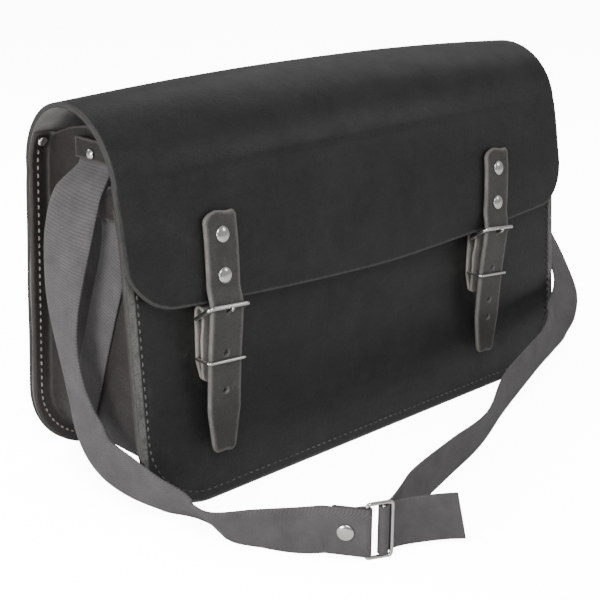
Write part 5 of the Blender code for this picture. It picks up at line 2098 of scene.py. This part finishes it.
@dataclass(frozen=True)
class Studio:
    """Camera at the photograph's place, pale floor, white surround and soft lights."""

    lens: float = 78.37
    eye: Triple = (-0.6116, -0.5648, 0.3795)
    right: Triple = (0.72629253, -0.68735454, 0.00654936)
    up: Triple = (0.21799025, 0.23935439, 0.94614466)
    ahead: Triple = (0.65190445, 0.68575011, -0.32367789)
    floor_size: float = 8.0
    surround: float = 0.30
    backdrop: float = 15.0
    # Lights: name, place, target, width, height, power
    lamps: tuple[tuple, ...] = (
        ("key", (-0.75, -1.00, 1.25), (0.0, 0.05, 0.12), 0.9, 0.7, 11.0),
        ("right", (1.10, -1.15, 0.85), (0.05, 0.05, 0.12), 0.5, 0.5, 1.6),
        ("top", (0.80, 0.45, 1.15), (0.0, 0.05, 0.20), 1.1, 0.8, 1.4),
        ("left", (-1.15, -0.10, 0.32), (-0.2, 0.06, 0.08), 0.5, 0.4, 6.0),
        ("back", (-0.45, 1.30, 0.95), (0.0, 0.12, 0.12), 0.8, 0.6, 4.0),
    )

    def camera(self) -> None:
        """Camera looking as the photograph does."""
        data = bpy.data.cameras.new("view")
        data.lens = self.lens
        data.sensor_width = 36.0
        camera = bpy.data.objects.new("view", data)
        columns = np.column_stack([self.right, self.up, -np.array(self.ahead)])
        matrix = Matrix(columns.tolist()).to_4x4()
        matrix.translation = self.eye
        camera.matrix_world = matrix
        bpy.context.scene.collection.objects.link(camera)
        bpy.context.scene.camera = camera

    def floor(self, wardrobe: Wardrobe) -> None:
        """Flat floor at z = 0, a grid of even squares.

        Args:
            wardrobe: materials.
        """
        line = np.linspace(-self.floor_size / 2, self.floor_size / 2, 9)
        x, y = np.meshgrid(line, line)
        grid = np.stack([x, y, np.zeros_like(x)], axis=-1)
        quads = grid_quads(9, 9)[:, ::-1]
        shell = Shell(grid.reshape(-1, 3), quads, np.zeros(len(quads)), np.zeros((81, 2)), np.ones(81))
        shell.piece("floor", [wardrobe.floor])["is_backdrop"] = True

    def lights(self) -> None:
        """White surround and the lamps."""
        world = bpy.data.worlds.new("surround")
        world.use_nodes = True
        graph = Graph(world.node_tree)
        seen = graph.node("LightPath").outputs["Is Camera Ray"]
        strength = graph.span(seen, 0.0, 1.0, self.surround, self.backdrop)
        background = world.node_tree.nodes["Background"]
        background.inputs["Color"].default_value = (1.0, 1.0, 1.0, 1.0)
        graph.link(strength, background, "Strength")
        bpy.context.scene.world = world
        for name, eye, target, width, height, power in self.lamps:
            data = bpy.data.lights.new(name, "AREA")
            data.shape = "RECTANGLE"
            data.size = width
            data.size_y = height
            data.energy = power
            lamp = bpy.data.objects.new(name, data)
            ahead = unit(np.array(target) - np.array(eye))
            right = unit(np.cross(ahead, (0.0, 0.0, 1.0)))
            matrix = Matrix(np.column_stack([right, np.cross(right, ahead), -ahead]).tolist()).to_4x4()
            matrix.translation = eye
            lamp.matrix_world = matrix
            bpy.context.scene.collection.objects.link(lamp)

    def build(self, wardrobe: Wardrobe) -> None:
        """Set up the whole studio.

        Args:
            wardrobe: materials.
        """
        self.camera()
        self.floor(wardrobe)
        self.lights()


def main() -> None:
    """Build the bag and its studio, and report each piece."""
    logging.basicConfig(level=logging.INFO, format="%(name)s: %(message)s")
    shape = BagShape()
    webbing = Webbing()
    wardrobe = Wardrobe.build(webbing.rib_pitch, shape.half - PANEL_BORDER, shape.half + FLAP_BORDER)
    Studio().build(wardrobe)
    body = Body(shape)
    body.front_panel(wardrobe)
    body.back_flap(wardrobe)
    body.gusset(wardrobe)
    Seams(shape).sew(wardrobe)
    Closure(shape, Side.LEFT, -0.690, 0.0062, 4.5).build(wardrobe)
    Closure(shape, Side.RIGHT, 0.5925, 0.0125, 6.0, (2.55,)).build(wardrobe)
    strap = ShoulderStrap(shape, webbing, Slider(shape, webbing))
    strap.build(wardrobe)
    SideFittings(shape, webbing, Side.LEFT, strap.left_rows[0][2]).build(wardrobe)
    SideFittings(shape, webbing, Side.RIGHT, strap.right_rows[0][2]).build(wardrobe)
    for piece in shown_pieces():
        LOG.info("%s: %d faces", piece.name, len(piece.data.polygons))


if __name__ == "__main__":
    main()
